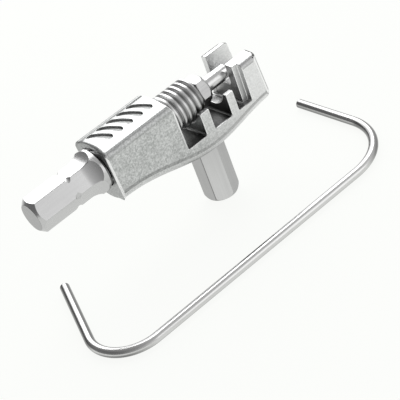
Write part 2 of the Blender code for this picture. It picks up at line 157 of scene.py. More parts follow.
NUT_TURN_DEG = 5.0
NUT_LENGTH = 0.0025
NUT_CHAMFER = 0.0002
NUT_NOSE_CHAMFER = 0.0009
PIN_CLEARANCE = 0.0003
STUB_END_ROUND = 0.0016
STUB_END_RADIUS = 0.0020
HEX_SIDES = 6
HEX_SIDE_DEG = 360.0 / HEX_SIDES
HEX_EDGE_DEG = 24.0
HEX_EDGE_BREAK = 0.00008
STUB_EDGE_BREAK = 0.00012
STUB_EDGE_TURN_DEG = 10.0
STUB_SIDE_PAINTED_SHADE = 0.57
TURNED_STEPS = 96

# Chain hook
HOOK_SPAN = 0.0744
HOOK_LEFT_LEG = 0.0292
HOOK_LEFT_ANGLE_DEG = 70.7
HOOK_LEFT_BEND = 0.0081
HOOK_RIGHT_LEG = 0.0282
HOOK_RIGHT_ANGLE_DEG = 88.5
HOOK_RIGHT_BEND = 0.0122
HOOK_FORWARD = 0.0213
HOOK_LEFT = 0.0090
HOOK_TURN_DEG = -1.8
HOOK_TIP_ROUND = 0.00018
WIRE_STEPS = 48
WIRE_INSET = 0.000003
BEND_STEPS = 28

# Where the wire takes painted shade, and the turns of its surface between which that comes in
WIRE_RUN_LEFT = -0.0355
WIRE_LEG_START = -0.0160
WIRE_BLEND = 0.0050
WIRE_RIGHT_SIDE = (0.15, 0.45)
WIRE_FAR_SIDE = (-0.05, 0.15)
WIRE_BACK = (0.95, 0.70)
WIRE_LEG_UNDERSIDE = (0.25, -0.05)
WIRE_RUN_UNDERSIDE = (-0.25, -0.45)
WIRE_RUN_SHARE = 0.5
WIRE_PAINTED_SHADE_SHARE = 0.85

# Meshes: gaps that are closed, and the angle over which a surface still counts as smooth
MERGE_GAP = 1e-7
CUT_GAP = 1e-8
SEAM_GAP = 1e-6
SPOT_DIGITS = 7
PIECE_SMOOTH_DEG = 32.0
SCREW_SMOOTH_DEG = 25.0

# How far a face of the casting or the stub turns towards an axis, as a share of its normal
SLIGHT_TURN = 0.1
RIM_TURN = 0.15
RIM_RISE = 0.2
SIDE_TURN = 0.25
EDGE_TURN = 0.3
CORNER_RISE = 0.4
HALF_TURN = 0.5
BOWED_TURN = 0.7
SQUARE_ON = 0.9
CORNER_TURN = 0.97
NEARLY_UP = 0.99

# Painted shade on the faces of the casting
CORNER_PAINTED_SHADE = 0.6
LEFT_END_PAINTED_SHADE = 0.5
RIM_PAINTED_SHADE = 1.7

# Finishes, in linear colour
CAST_DARK = (0.35, 0.36, 0.355, 1.0)
CAST_LIGHT = (0.68, 0.69, 0.685, 1.0)
# Painted light and painted highlights on the casting
CAST_PAINTED_LIGHT = (0.92, 0.92, 0.92, 1.0)
# Colour of all the painted shade on the casting
CRADLE_SHADE = (0.05, 0.05, 0.05, 1.0)
SATIN_DARK = (0.535, 0.535, 0.535, 1.0)
SATIN_LIGHT = (0.56, 0.56, 0.56, 1.0)
# Painted shade in the thread's roots, also the colour of the darker end face
ROOT_SHADE = (0.16, 0.16, 0.16, 1.0)
PIN_DARK = (0.58, 0.58, 0.58, 1.0)
PIN_LIGHT = (0.66, 0.66, 0.66, 1.0)
# Painted shade on the stub's sides and edges
STUB_PAINTED_SHADE = (0.25, 0.25, 0.25, 1.0)
WIRE_DARK = (0.58, 0.58, 0.575, 1.0)
WIRE_LIGHT = (0.66, 0.66, 0.655, 1.0)
# Painted shade along the wire's sides and underside
WIRE_PAINTED_SHADE = (0.11, 0.11, 0.11, 1.0)
NUT_DARK = (0.40, 0.40, 0.40, 1.0)
NUT_LIGHT = (0.45, 0.45, 0.45, 1.0)

# Roughness at the darkest and the lightest marks of a finish
CAST_ROUGHNESS = (0.39, 0.31)
SCREW_ROUGHNESS = (0.285, 0.255)
PIN_ROUGHNESS = (0.22, 0.14)
NUT_ROUGHNESS = (0.32, 0.24)
STUB_ROUGHNESS = (0.36, 0.28)
WIRE_ROUGHNESS = (0.20, 0.14)

# Marks in the metal: how many there are to a metre, how they are stretched and how deep they are
CAST_PITS = 3300.0
CAST_CLOUDS = 240.0
CAST_RELIEF = 0.000012
DRAWN_LINES = 5200.0
DRAWN_STRETCH = (0.015, 1.0, 1.0)
RING_LINES = 7000.0
RING_STRETCH = (1.0, 0.0, 0.0)
PIN_LINES = 9000.0
NUT_LINES = 5200.0
NUT_STRETCH = (0.02, 1.0, 1.0)
STUB_LINES = 4200.0
STUB_STRETCH = (1.0, 1.0, 0.015)
WIRE_LINES = 5000.0
WIRE_STRETCH = (0.02, 1.0, 1.0)
FINE_RELIEF = 0.000002
DRAWN_RELIEF = 0.000003
MARK_RANGE = (0.3, 0.7)
PIT_SHARE = 0.88
FINE_LINE_SHARE = 0.6
BROAD_LINES = 0.15
FINE_DETAIL = 2.0
BROAD_DETAIL = 1.0

# Oil, painted shade and painted light
FILM_RANGE = (0.42, 0.62)
FILM_DETAIL = 3.0
OIL_PATCHES = 260.0
OIL_CHANGE = 0.03
SCREW_OIL_PATCHES = 210.0
CAST_OIL_PATCHES = 130.0
CAST_OIL_CHANGE = -0.02
CRADLE_SHADE_RANGE = (0.22, 0.95)
CHEEK_SHADE_SHARE = 0.85
CHEEK_TOP_SHADE_SHARE = 0.35
KEEL_SHADE_SHARE = 0.34
FAR_TOP_SHADE_SHARE = 0.6
PAINTED_SHADE_SHARE = 0.6
ROOT_SHADE_SHARE = (0.65, -0.20)
END_FACE_DARKENING = 0.5
PAINTED_LIGHT_SHARE = 0.60
PAINTED_HIGHLIGHT_SHARE = 0.8
HIGHLIGHT_POLISH = 0.10

# Places of the sockets that Blender's colour mix node shows only by number
MIX_SHARE = 0
MIX_FIRST = 6
MIX_SECOND = 7
MIX_COLOUR = 2

# Stage
FLOOR_HALF = 1.5
FLOOR_GAP = 0.0001
FLOOR_WHITE = 0.92
FLOOR_LIT = (0.85, 0.85, 0.84, 1.0)
FLOOR_SEEN = (0.99, 1.0, 0.98, 1.0)
LIGHT_SIDE = (1.0, -0.3, 0.0)
SIDE_RANGE = (-0.80, 0.55)
SIDE_LEVELS = (0.23, 0.95)
RISE_RANGE = (0.30, 0.70)
RISE_LEVELS = (1.0, 0.70)

# Soft boxes: place, width, height and watts
BACK_SOFTBOX = ((0.20, 0.285, 0.344), 0.46, 0.60, 2.3)
FRONT_SOFTBOX = ((0.15, -0.32, 0.11), 0.24, 0.24, 0.09)

# Camera, fitted to the photograph's own directions
CAMERA_LENS_MM = 108.607
CAMERA_SENSOR_MM = 36.0
CAMERA_PLACE = (-0.09963, -0.16832, 0.13500)
CAMERA_RIGHT = (0.70982, -0.63595, -0.30286)
CAMERA_UP = (0.57843, 0.28089, 0.76585)
CAMERA_BACK = (-0.40197, -0.71880, 0.56723)

# Worked out from the sizes above
BLOCK_TOP = BODY_HIGH.z - BLOCK_CROWN
BLOCK_RIGHT = BODY_LEFT + BLOCK_LENGTH
CRADLE_LEFT = BLOCK_RIGHT + BLOCK_SLANT
FIRST_RIB_LEFT = CRADLE_LEFT + FIRST_NOTCH
FIRST_RIB_RIGHT = FIRST_RIB_LEFT + FIRST_RIB
SECOND_RIB_LEFT = FIRST_RIB_RIGHT + SECOND_NOTCH
SECOND_RIB_RIGHT = SECOND_RIB_LEFT + SECOND_RIB
END_WALL = SECOND_RIB_RIGHT + THIRD_NOTCH
CRADLE_FLOOR = AXIS_HEIGHT - CRADLE_FLOOR_DEPTH
TINE_TOP = AXIS_HEIGHT - TINE_TOP_DEPTH
CHEEK_TOP = AXIS_HEIGHT + CHEEK_HEIGHT
CEILING = BODY_HIGH.z + CUT_MARGIN
REACH = HALF_WIDTH + CUT_MARGIN
EXIT_NEAR = -PIN_DIAMETER / 2 - PIN_CLEARANCE
EXIT_FAR = HALF_WIDTH - CHEEK_THICKNESS
HEX_CORNER = ACROSS_FLATS / math.sqrt(3)
SHANK_END = SCREW_LOW.x
SCALLOP_START = SHANK_END + SHANK_LENGTH
SCALLOP_RISE = COLLAR_RADIUS - ACROSS_FLATS / 2
SCALLOP_LENGTH = math.sqrt(SCALLOP_RADIUS ** 2 - (SCALLOP_RADIUS - SCALLOP_RISE) ** 2)
COLLAR_FACE = SCALLOP_START + SCALLOP_LENGTH + COLLAR_LENGTH
RIGHT_RIM = BODY_RIGHT - RIGHT_END_LEAN - RIGHT_END_ROUND

# Bands along the sides of the casting: the side, or 0.0 for both, where the band starts, the least and
# the most that its faces turn up, how much painted highlight it takes and how much painted shade it
# takes
NEAR_SIDE = -1.0
FAR_SIDE = 1.0
SIDE_BANDS = (
    (NEAR_SIDE, END_WALL, 0.10, 0.92, 0.0, 0.75),
    (NEAR_SIDE, BODY_LEFT, 0.10, 0.70, 0.0, 0.45),
    (FAR_SIDE, BODY_LEFT, 0.10, 0.98, 0.0, 0.80),
    (0.0, BODY_LEFT, -0.20, -0.05, 0.0, 0.60),
    (0.0, BODY_LEFT, -0.75, -0.20, 0.2, 0.0),
)


def piece_from(name, work):
    """Make an object at the origin from a bmesh."""
    mesh = bpy.data.meshes.new(name)
    work.to_mesh(mesh)
    work.free()
    item = bpy.data.objects.new(name, mesh)
    bpy.context.scene.collection.objects.link(item)
    return item


def bake(item):
    """Apply an object's modifiers to its mesh."""
    seen = item.evaluated_get(bpy.context.evaluated_depsgraph_get())
    mesh = bpy.data.meshes.new_from_object(seen)
    item.modifiers.clear()
    item.data = mesh


def combine(item, work, operation):
    """Cut, join or cross a piece with a second shape."""
    tool = piece_from("tool", work)
    modifier = item.modifiers.new(operation, "BOOLEAN")
    modifier.operation = operation
    modifier.solver = "EXACT"
    modifier.object = tool
    bake(item)
    bpy.data.objects.remove(tool)


def edit(item):
    work = bmesh.new()
    work.from_mesh(item.data)
    return work


def store(item, work):
    work.to_mesh(item.data)
    work.free()


def move(work, matrix):
    """Move and turn a whole shape."""
    bmesh.ops.transform(work, matrix=matrix, verts=work.verts)


def about_z(degrees):
    return Matrix.Rotation(math.radians(degrees), 4, "Z")


def of_kind(items, kind):
    """The corners, edges or faces among what an operator gives back."""
    return [item for item in items if isinstance(item, kind)]


def sharp_edges(work, least_deg):
    least = math.radians(least_deg)
    return [edge for edge in work.edges if edge.is_manifold and edge.calc_face_angle() > least]


def round_edges(work, edges, radius, steps):
    """Round some edges and give back the faces of the rounds."""
    made = bmesh.ops.bevel(
        work, geom=edges, offset=radius, offset_type="OFFSET", segments=steps, profile=0.5,
        affect="EDGES", clamp_overlap=False, loop_slide=True, material=-1,
    )
    return made["faces"]


def close_seams(item):
    """Merge the corners that cutting left side by side."""
    work = edit(item)
    bmesh.ops.remove_doubles(work, verts=work.verts, dist=SEAM_GAP)
    bmesh.ops.dissolve_degenerate(work, edges=work.edges, dist=SEAM_GAP)
    store(item, work)


def finish_piece(item, body, material, smooth_deg=PIECE_SMOOTH_DEG):
    """Smooth a piece, give it its finish and let it stand for the CAD node of the same name."""
    node = item.name.removeprefix("fine_")
    close_seams(item)
    item.data.shade_smooth()
    item.data.set_sharp_from_angle(angle=math.radians(smooth_deg))
    item.data.materials.clear()
    item.data.materials.append(material)
    weighted = item.modifiers.new("even_normals", "WEIGHTED_NORMAL")
    weighted.keep_sharp = True
    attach(item, body)
    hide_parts(node)


def arc(centre, radius, start_deg, end_deg, steps=FILLET_STEPS):
    points = []
    for step in range(steps + 1):
        angle = math.radians(start_deg + (end_deg - start_deg) * step / steps)
        points.append((centre[0] + radius * math.cos(angle), centre[1] + radius * math.sin(angle)))
    return points


def prism(points, travel):
    """A closed prism: a flat loop of 3-D points swept along a vector."""
    work = bmesh.new()
    face = work.faces.new([work.verts.new(point) for point in points])
    swept = bmesh.ops.extrude_face_region(work, geom=[face])
    bmesh.ops.translate(work, verts=of_kind(swept["geom"], bmesh.types.BMVert), vec=travel)
    bmesh.ops.recalc_face_normals(work, faces=work.faces)
    return work


def prism_along_y(outline, start, end):
    return prism([(x, start, z) for x, z in outline], (0.0, end - start, 0.0))


def prism_along_x(outline, start, end):
    return prism([(start, y, z) for y, z in outline], (end - start, 0.0, 0.0))


def turned(profile, steps=TURNED_STEPS):
    """A solid turned about Z from (radius, height) points that start and end on the axis."""
    work = bmesh.new()
    verts = [work.verts.new((radius, 0.0, height)) for radius, height in profile]
    edges = [work.edges.new(pair) for pair in zip(verts, verts[1:])]
    bmesh.ops.spin(
        work, geom=verts + edges, cent=(0.0, 0.0, 0.0), axis=(0.0, 0.0, 1.0),
        angle=2 * math.pi, steps=steps, use_merge=True,
    )
    bmesh.ops.remove_doubles(work, verts=work.verts, dist=MERGE_GAP)
    bmesh.ops.recalc_face_normals(work, faces=work.faces)
    return work


def round_bar(radius, start, end):
    """A plain round bar standing on Z."""
    return turned([(0.0, start), (radius, start), (radius, end), (0.0, end)])


def hex_bar(across_flats, start, end):
    """A six-sided bar standing on Z with a flat towards X."""
    work = bmesh.new()
    corner = across_flats / math.sqrt(3)
    ring = bmesh.ops.create_circle(work, cap_ends=True, segments=HEX_SIDES, radius=corner)
    bmesh.ops.translate(work, verts=ring["verts"], vec=(0.0, 0.0, start))
    swept = bmesh.ops.extrude_face_region(work, geom=list(work.faces))
    moved = of_kind(swept["geom"], bmesh.types.BMVert)
    bmesh.ops.translate(work, verts=moved, vec=(0.0, 0.0, end - start))
    bmesh.ops.recalc_face_normals(work, faces=work.faces)
    return work


def turn_to_screw(work, along=0.0):
    """Turn a shape that stands on Z so that it lies along the screw's axis."""
    move(work, Matrix.Translation((along, 0.0, AXIS_HEIGHT)) @ Matrix.Rotation(math.pi / 2, 4, "Y"))


def lay_along_screw(item):
    """Lay a piece that was made standing on Z along the screw's axis."""
    work = edit(item)
    turn_to_screw(work)
    store(item, work)


# Cast body


def ease(share, sweep):
    """A rise from 0 to 1 that levels out at the end, and starts the flatter the larger the sweep."""
    return math.sin(math.pi / 2 * share) ** sweep


def belly(x):
    """Height of the underside: deepest over the stub and easing up to both ends."""
    if x < 0.0:
        rise = ease((x - BODY_LEFT) / -BODY_LEFT, BELLY_LEFT_SWEEP)
        depth = BELLY_LEFT_DEPTH + (BELLY_DEPTH - BELLY_LEFT_DEPTH) * rise
    else:
        rise = ease(x / BODY_RIGHT, BELLY_RIGHT_SWEEP)
        depth = BELLY_DEPTH + (BELLY_RIGHT_DEPTH - BELLY_DEPTH) * rise
    return AXIS_HEIGHT - depth


def casting_round(edge):
    """Radius of the round on an edge of the casting."""
    middle = (edge.verts[0].co + edge.verts[1].co) / 2
    if middle.x < BODY_LEFT + LEFT_END_LEAN / 4:
        return LEFT_TOP_ROUND
    if middle.x < BODY_LEFT + LEFT_END_LEAN:
        return LEFT_END_ROUND
    if any(face.normal.x > SQUARE_ON for face in edge.link_faces):
        return RIGHT_END_ROUND
    if middle.z > AXIS_HEIGHT:
        return BLOCK_TOP_ROUND
    return BELLY_ROUND


def rough_casting():
    """The body before anything is cut: a side view swept across its width, with its edges rounded."""
    outline = [(BODY_LEFT, BLOCK_TOP), (BODY_LEFT + LEFT_END_LEAN, belly(BODY_LEFT))]
    for step in range(1, BELLY_STEPS):
        x = BODY_LEFT + (BODY_RIGHT - BODY_LEFT) * step / BELLY_STEPS
        outline.append((x, belly(x)))
    foot = belly(BODY_RIGHT)
    lean = RIGHT_END_LEAN * (BLOCK_TOP - foot) / (CHEEK_TOP - foot)
    outline += [(BODY_RIGHT, foot), (BODY_RIGHT - lean, BLOCK_TOP)]
    body = piece_from("fine_body", prism_along_y(outline, -HALF_WIDTH, HALF_WIDTH))
    work = edit(body)
    weights = work.edges.layers.float.new("bevel_weight_edge")
    for edge in sharp_edges(work, ROUNDED_EDGE_DEG):
        edge[weights] = casting_round(edge) / BELLY_ROUND
    store(body, work)
    bevel = body.modifiers.new("rounds", "BEVEL")
    bevel.limit_method = "WEIGHT"
    bevel.width = BELLY_ROUND
    bevel.segments = ROUND_STEPS
    bevel.use_clamp_overlap = False
    bake(body)
    return body


def grip_slot(index):
    """One slanting slot with round ends."""
    middle = BODY_LEFT + BLOCK_LENGTH / 2 + (index - (GRIP_SLOTS - 1) / 2) * GRIP_PITCH
    straight = (GRIP_LENGTH - GRIP_WIDTH) / 2
    outline = arc((0.0, straight), GRIP_WIDTH / 2, 0.0, 180.0, 2 * FILLET_STEPS)
    outline += arc((0.0, -straight), GRIP_WIDTH / 2, 180.0, 360.0, 2 * FILLET_STEPS)
    floor = BLOCK_TOP - GRIP_DEPTH
    work = prism([(x, y, floor) for x, y in outline], (0.0, 0.0, GRIP_DEPTH + CUT_MARGIN))
    move(work, Matrix.Translation((middle, 0.0, 0.0)) @ about_z(GRIP_SLANT_DEG))
    return work


def is_slot_rim(edge):
    """Whether an edge runs round the mouth of a grip slot."""
    high = all(vert.co.z > BLOCK_TOP - GRIP_LIP for vert in edge.verts)
    return high and all(abs(vert.co.y) < GRIP_LENGTH / 2 for vert in edge.verts)


def is_slot_floor(face):
    """Whether a face is the floor of a grip slot."""
    sunk = BLOCK_TOP - face.calc_center_median().z
    return GRIP_DEPTH / 2 < sunk < GRIP_DEPTH + GRIP_LIP / 2 and face.normal.z > SQUARE_ON


def cut_grip_slots(body):
    """Sink the slots into the flat top, break their rims and mark painted shade on their floors."""
    for index in range(GRIP_SLOTS):
        combine(body, grip_slot(index), "DIFFERENCE")
    work = edit(body)
    rims = [edge for edge in sharp_edges(work, SLOT_RIM_DEG) if is_slot_rim(edge)]
    round_edges(work, rims, GRIP_LIP, SMALL_STEPS)
    # The floors of the slots take painted shade
    grime = work.faces.layers.float.new("grime")
    for face in work.faces:
        if is_slot_floor(face):
            face[grime] = 1.0
    store(body, work)


def crown_body(body):
    """Bow the top and the belly across the width of the body."""
    work = edit(body)
    bowed = [face for face in work.faces if abs(face.normal.z) > BOWED_TURN]
    for step in range(1, CROWN_STEPS):
        across = HALF_WIDTH * (2.0 * step / CROWN_STEPS - 1.0)
        geom = set(bowed)
        for face in bowed:
            geom.update(face.edges)
            geom.update(face.verts)
        split = bmesh.ops.bisect_plane(
            work, geom=list(geom), dist=MERGE_GAP,
            plane_co=(0.0, across, 0.0), plane_no=(0.0, 1.0, 0.0),
        )
        bowed = of_kind(split["geom"], bmesh.types.BMFace)
    shoulder = HALF_WIDTH - BLOCK_TOP_ROUND
    flank = HALF_WIDTH - BELLY_ROUND
    for vert in work.verts:
        top = max(0.0, 1.0 - max(0.0, BLOCK_TOP - GRIP_DEPTH - vert.co.z) / CROWN_DEPTH)
        top *= max(0.0, 1.0 - (vert.co.y / shoulder) ** 2)
        low = max(0.0, 1.0 - max(0.0, vert.co.z - belly(vert.co.x)) / BELLY_ROUND)
        low *= max(0.0, 1.0 - (vert.co.y / flank) ** 2)
        vert.co.z += BLOCK_CROWN * top - BELLY_CROWN * low
    store(body, work)


def fillet(corner, before, after, radius):
    """Points of a round between two square sides that leave a corner in these directions."""
    centre = (corner[0] + (before[0] + after[0]) * radius, corner[1] + (before[1] + after[1]) * radius)
    points = []
    for step in range(FILLET_STEPS + 1):
        angle = math.pi / 2 * step / FILLET_STEPS
        x = centre[0] - radius * (after[0] * math.cos(angle) + before[0] * math.sin(angle))
        z = centre[1] - radius * (after[1] * math.cos(angle) + before[1] * math.sin(angle))
        points.append((x, z))
    return points


def notch(left, right):
    """The two round corners at the floor of a notch."""
    up = (0.0, 1.0)
    outline = fillet((left, CRADLE_FLOOR), up, (1.0, 0.0), CRADLE_FILLET)
    outline += fillet((right, CRADLE_FLOOR), (-1.0, 0.0), up, CRADLE_FILLET)
    return outline


def cradle():
    """All that is cut away above the cradle, the end block's cheek and the two ribs."""
    over = (CEILING - BLOCK_TOP) * BLOCK_SLANT / (BLOCK_TOP - CHEEK_TOP)
    outline = [(BLOCK_RIGHT - over, CEILING), (CRADLE_LEFT, CHEEK_TOP)]
    outline += notch(CRADLE_LEFT, FIRST_RIB_LEFT)
    outline += [(FIRST_RIB_LEFT, TINE_TOP), (FIRST_RIB_RIGHT, TINE_TOP)]
    outline += notch(FIRST_RIB_RIGHT, SECOND_RIB_LEFT)
    outline += [(SECOND_RIB_LEFT, TINE_TOP), (SECOND_RIB_RIGHT, TINE_TOP)]
    outline += notch(SECOND_RIB_RIGHT, END_WALL)
    right = BODY_RIGHT + CUT_MARGIN
    outline += [(END_WALL, CHEEK_TOP), (right, CHEEK_TOP), (right, CEILING)]
    return prism_along_y(outline, -REACH, REACH)


def saddle():
    """The round seat for the chain's rollers."""
    work = bmesh.new()
    start = FIRST_RIB_LEFT - FIRST_NOTCH / 2
    end = SECOND_RIB_RIGHT + THIRD_NOTCH / 2
    bmesh.ops.create_cone(
        work, cap_ends=True, segments=CYLINDER_STEPS,
        radius1=BORE_RADIUS, radius2=BORE_RADIUS, depth=end - start,
    )
    turn_to_screw(work, (start + end) / 2)
    return work


def front_recess():
    """The wider notch in the front wall, in front of the end wall."""
    left = END_WALL - THIRD_NOTCH / 2
    right = END_WALL + FRONT_RECESS
    outline = [(left, CEILING), (left, CRADLE_FLOOR)]
    outline += fillet((right, CRADLE_FLOOR), (-1.0, 0.0), (0.0, 1.0), CRADLE_FILLET)
    outline.append((right, CEILING))
    return prism_along_y(outline, -REACH, -HALF_WIDTH + FRONT_WALL)


def exit_channel():
    """The channel that the driven chain pin comes out through."""
    floor = AXIS_HEIGHT - EXIT_DEPTH
    outline = [(EXIT_NEAR, CEILING)]
    outline += arc((EXIT_NEAR + EXIT_FILLET, floor + EXIT_FILLET), EXIT_FILLET, 180.0, 270.0)
    outline += arc((EXIT_FAR - EXIT_FILLET, floor + EXIT_FILLET), EXIT_FILLET, 270.0, 360.0)
    outline.append((EXIT_FAR, CEILING))
    return prism_along_x(outline, END_WALL - THIRD_NOTCH / 2, BODY_RIGHT + CUT_MARGIN)


def near_top():
    """Lowers the near half of the end block to a sloping top with a round front edge."""
    inner = AXIS_HEIGHT + NEAR_TOP_HEIGHT
    outer = inner - NEAR_TOP_DROP
    middle = (EXIT_NEAR + EXIT_FAR) / 2
    outline = [(middle, CEILING), (middle, inner), (EXIT_NEAR, inner)]
    outline += arc((-HALF_WIDTH + NEAR_TOP_ROUND, outer - NEAR_TOP_ROUND), NEAR_TOP_ROUND, 90.0, 180.0)
    outline += [(-REACH, outer - NEAR_TOP_ROUND), (-REACH, CEILING)]
    return prism_along_x(outline, END_WALL - THIRD_NOTCH / 2, BODY_RIGHT + CUT_MARGIN)


def bore():
    """The screw's hole, with a countersunk lip at both ends."""
    wide = BORE_RADIUS + BORE_LIP
    end = CRADLE_LEFT + FIRST_NOTCH / 2
    profile = [
        (0.0, BODY_LEFT - CUT_MARGIN),
        (wide + CUT_MARGIN, BODY_LEFT - CUT_MARGIN),
        (wide, BODY_LEFT),
        (BORE_RADIUS, BODY_LEFT + BORE_LIP),
        (BORE_RADIUS, end),
        (0.0, end),
    ]
    work = turned(profile, CYLINDER_STEPS)
    turn_to_screw(work)
    return work


def is_end_corner(normal):
    """Whether a face lies on a round between a side of the body and one of its ends."""
    upright = abs(normal.z) < CORNER_RISE
    return upright and abs(normal.y) > EDGE_TURN and SIDE_TURN < abs(normal.x) < CORNER_TURN


def spot(vert):
    """The place of a corner, rounded so that two meshes can be compared."""
    return tuple(round(value, SPOT_DIGITS) for value in vert.co)


def fresh_edges(work, known):
    """The sharp edges that the cutters made, which touch no corner that was there before."""
    fresh = []
    for edge in sharp_edges(work, ROUNDED_EDGE_DEG):
        if not any(spot(vert) in known for vert in edge.verts):
            fresh.append(edge)
    return fresh


def is_worn_edge(edge):
    """Whether an edge runs along the top of the right end or along the far side of the cheek's top."""
    places = [vert.co for vert in edge.verts]
    if all(place.x > RIGHT_RIM and place.z > AXIS_HEIGHT for place in places):
        return True
    on_cheek = all(place.x > END_WALL - EDGE_BREAK for place in places)
    on_far_side = all(place.y > HALF_WIDTH - EDGE_BREAK for place in places)
    on_top = all(place.z > CHEEK_TOP - EDGE_BREAK for place in places)
    return on_cheek and on_far_side and on_top


def mark_face(normal, place):
    """How much painted highlight and painted shade a face of the casting takes, or nothing where it is
    plain.
    """
    on_side = abs(normal.y) > SIDE_TURN
    at_block_edge = BLOCK_RIGHT < place.x < CRADLE_LEFT + EDGE_BREAK
    if at_block_edge and normal.x > SLIGHT_TURN and normal.y < -EDGE_TURN:
        return 1.0, 0.0
    on_cheek = place.x > END_WALL and place.y > EXIT_FAR
    if on_cheek and normal.y > SLIGHT_TURN and SLIGHT_TURN < normal.z < NEARLY_UP:
        return 0.0, RIM_PAINTED_SHADE
    if is_end_corner(normal):
        if normal.x > HALF_TURN:
            return 0.0, CORNER_PAINTED_SHADE
        return 1.0, 0.0
    if normal.x < -HALF_TURN and not on_side and place.x < BODY_LEFT + LEFT_TOP_ROUND:
        return 0.0, LEFT_END_PAINTED_SHADE
    if place.x > RIGHT_RIM and normal.x > RIM_TURN and normal.z > RIM_RISE:
        return 0.0, RIM_PAINTED_SHADE
    for side, start, least, most, rubbed, grime in SIDE_BANDS:
        in_band = side * place.y >= 0.0 and place.x > start and least < normal.z < most
        if on_side and in_band:
            return rubbed, grime
    return None


def mark_painted_light(work, broken):
    """Mark the faces that take painted highlights and the faces that take painted shade."""
    rubbed = work.faces.layers.float["rubbed"]
    grime = work.faces.layers.float["grime"]
    # The rounds of the cut edges take painted highlights
    for face in broken:
        face[rubbed] = 1.0
    for face in work.faces:
        marks = mark_face(face.normal, face.calc_center_median())
        if marks:
            face[rubbed], face[grime] = marks


def make_body(material):
    body = rough_casting()
    cut_grip_slots(body)
    crown_body(body)
    known = {spot(vert) for vert in body.data.vertices}
    for shape in (cradle(), saddle(), front_recess(), exit_channel(), near_top()):
        combine(body, shape, "DIFFERENCE")
    work = edit(body)
    work.faces.layers.float.new("rubbed")
    wear_and_painted_light = [edge for edge in fresh_edges(work, known) if is_worn_edge(edge)]
    round_edges(work, wear_and_painted_light, WORN_BREAK, WORN_STEPS)
    broken = round_edges(work, fresh_edges(work, known), EDGE_BREAK, EDGE_STEPS)
    mark_painted_light(work, broken)
    store(body, work)
    combine(body, bore(), "DIFFERENCE")
    socket = hex_bar(ACROSS_FLATS + 2 * PIN_CLEARANCE, 0.0, STUB_HIGH.z + PIN_CLEARANCE)
    combine(body, socket, "DIFFERENCE")
    finish_piece(body, "tool_body", material)


# Pieces on the screw's axis, turned about Z with heights along the screw


def shank_blank():
    """The turned blank of the shank and collar, before its six flats are milled."""
    corner = HEX_CORNER - SHANK_CORNER_BREAK
    profile = [(0.0, SHANK_END), (corner - SHANK_CHAMFER, SHANK_END)]
    profile.append((corner, SHANK_END + SHANK_CHAMFER))
    for step in range(2 * ROUND_STEPS + 1):
        across = step / ROUND_STEPS - 1.0
        groove = corner - DETENT_DEPTH * (1.0 - across ** 2)
        profile.append((groove, SHANK_END + DETENT_FROM_END + across * DETENT_WIDTH / 2))
    for step in range(2 * ROUND_STEPS + 1):
        run = SCALLOP_LENGTH * step / (2 * ROUND_STEPS)
        lift = SCALLOP_RADIUS - math.sqrt(SCALLOP_RADIUS ** 2 - run ** 2)
        radius = corner * (1.0 + 2.0 * lift / ACROSS_FLATS)
        if radius < COLLAR_RADIUS - COLLAR_CHAMFER:
            profile.append((radius, SCALLOP_START + run))
    profile.append((COLLAR_RADIUS, profile[-1][1] + COLLAR_CHAMFER))
    profile.append((COLLAR_RADIUS, COLLAR_FACE - COLLAR_CHAMFER))
    profile.append((COLLAR_RADIUS - COLLAR_CHAMFER, COLLAR_FACE))
    profile.append((0.0, COLLAR_FACE))
    return turned(profile)


def flat_mill(index):
    """What one pass of a round-nosed mill takes off a side of the shank."""
    flat = ACROSS_FLATS / 2
    start = SHANK_END - CUT_MARGIN
    nose = (flat + SCALLOP_RADIUS, SCALLOP_START)
    outline = [(flat, start)]
    outline += arc(nose, SCALLOP_RADIUS, 180.0, 120.0, 3 * ROUND_STEPS)
    outline.append((flat + SCALLOP_RADIUS / 2, start))
    work = prism([(radius, -REACH, height) for radius, height in outline], (0.0, 2 * REACH, 0.0))
    move(work, about_z(HEX_SIDE_DEG * index))
    return work


def soften(before, corner, after, size):
    """Three points that round a corner of a profile."""
    first = corner + (before - corner).normalized() * size
    last = corner + (after - corner).normalized() * size
    return [first, (first + 2 * corner + last) / 4, last]


def thread_profile():
    """One pitch of the thread, from the start of one root to the start of the next."""
    root = THREAD_ROOT_DIAMETER / 2
    crest = THREAD_DIAMETER / 2
    root_end = THREAD_PITCH * THREAD_ROOT_SHARE
    crest_start = THREAD_PITCH * (1.0 + THREAD_ROOT_SHARE - THREAD_CREST_SHARE) / 2
    crest_end = crest_start + THREAD_PITCH * THREAD_CREST_SHARE
    corners = [
        Vector((crest, crest_end - THREAD_PITCH)),
        Vector((root, 0.0)),
        Vector((root, root_end)),
        Vector((crest, crest_start)),
        Vector((crest, crest_end)),
        Vector((root, THREAD_PITCH)),
    ]
    points = []
    for before, corner, after in zip(corners, corners[1:], corners[2:]):
        points += soften(before, corner, after, THREAD_ROUND)
    return points


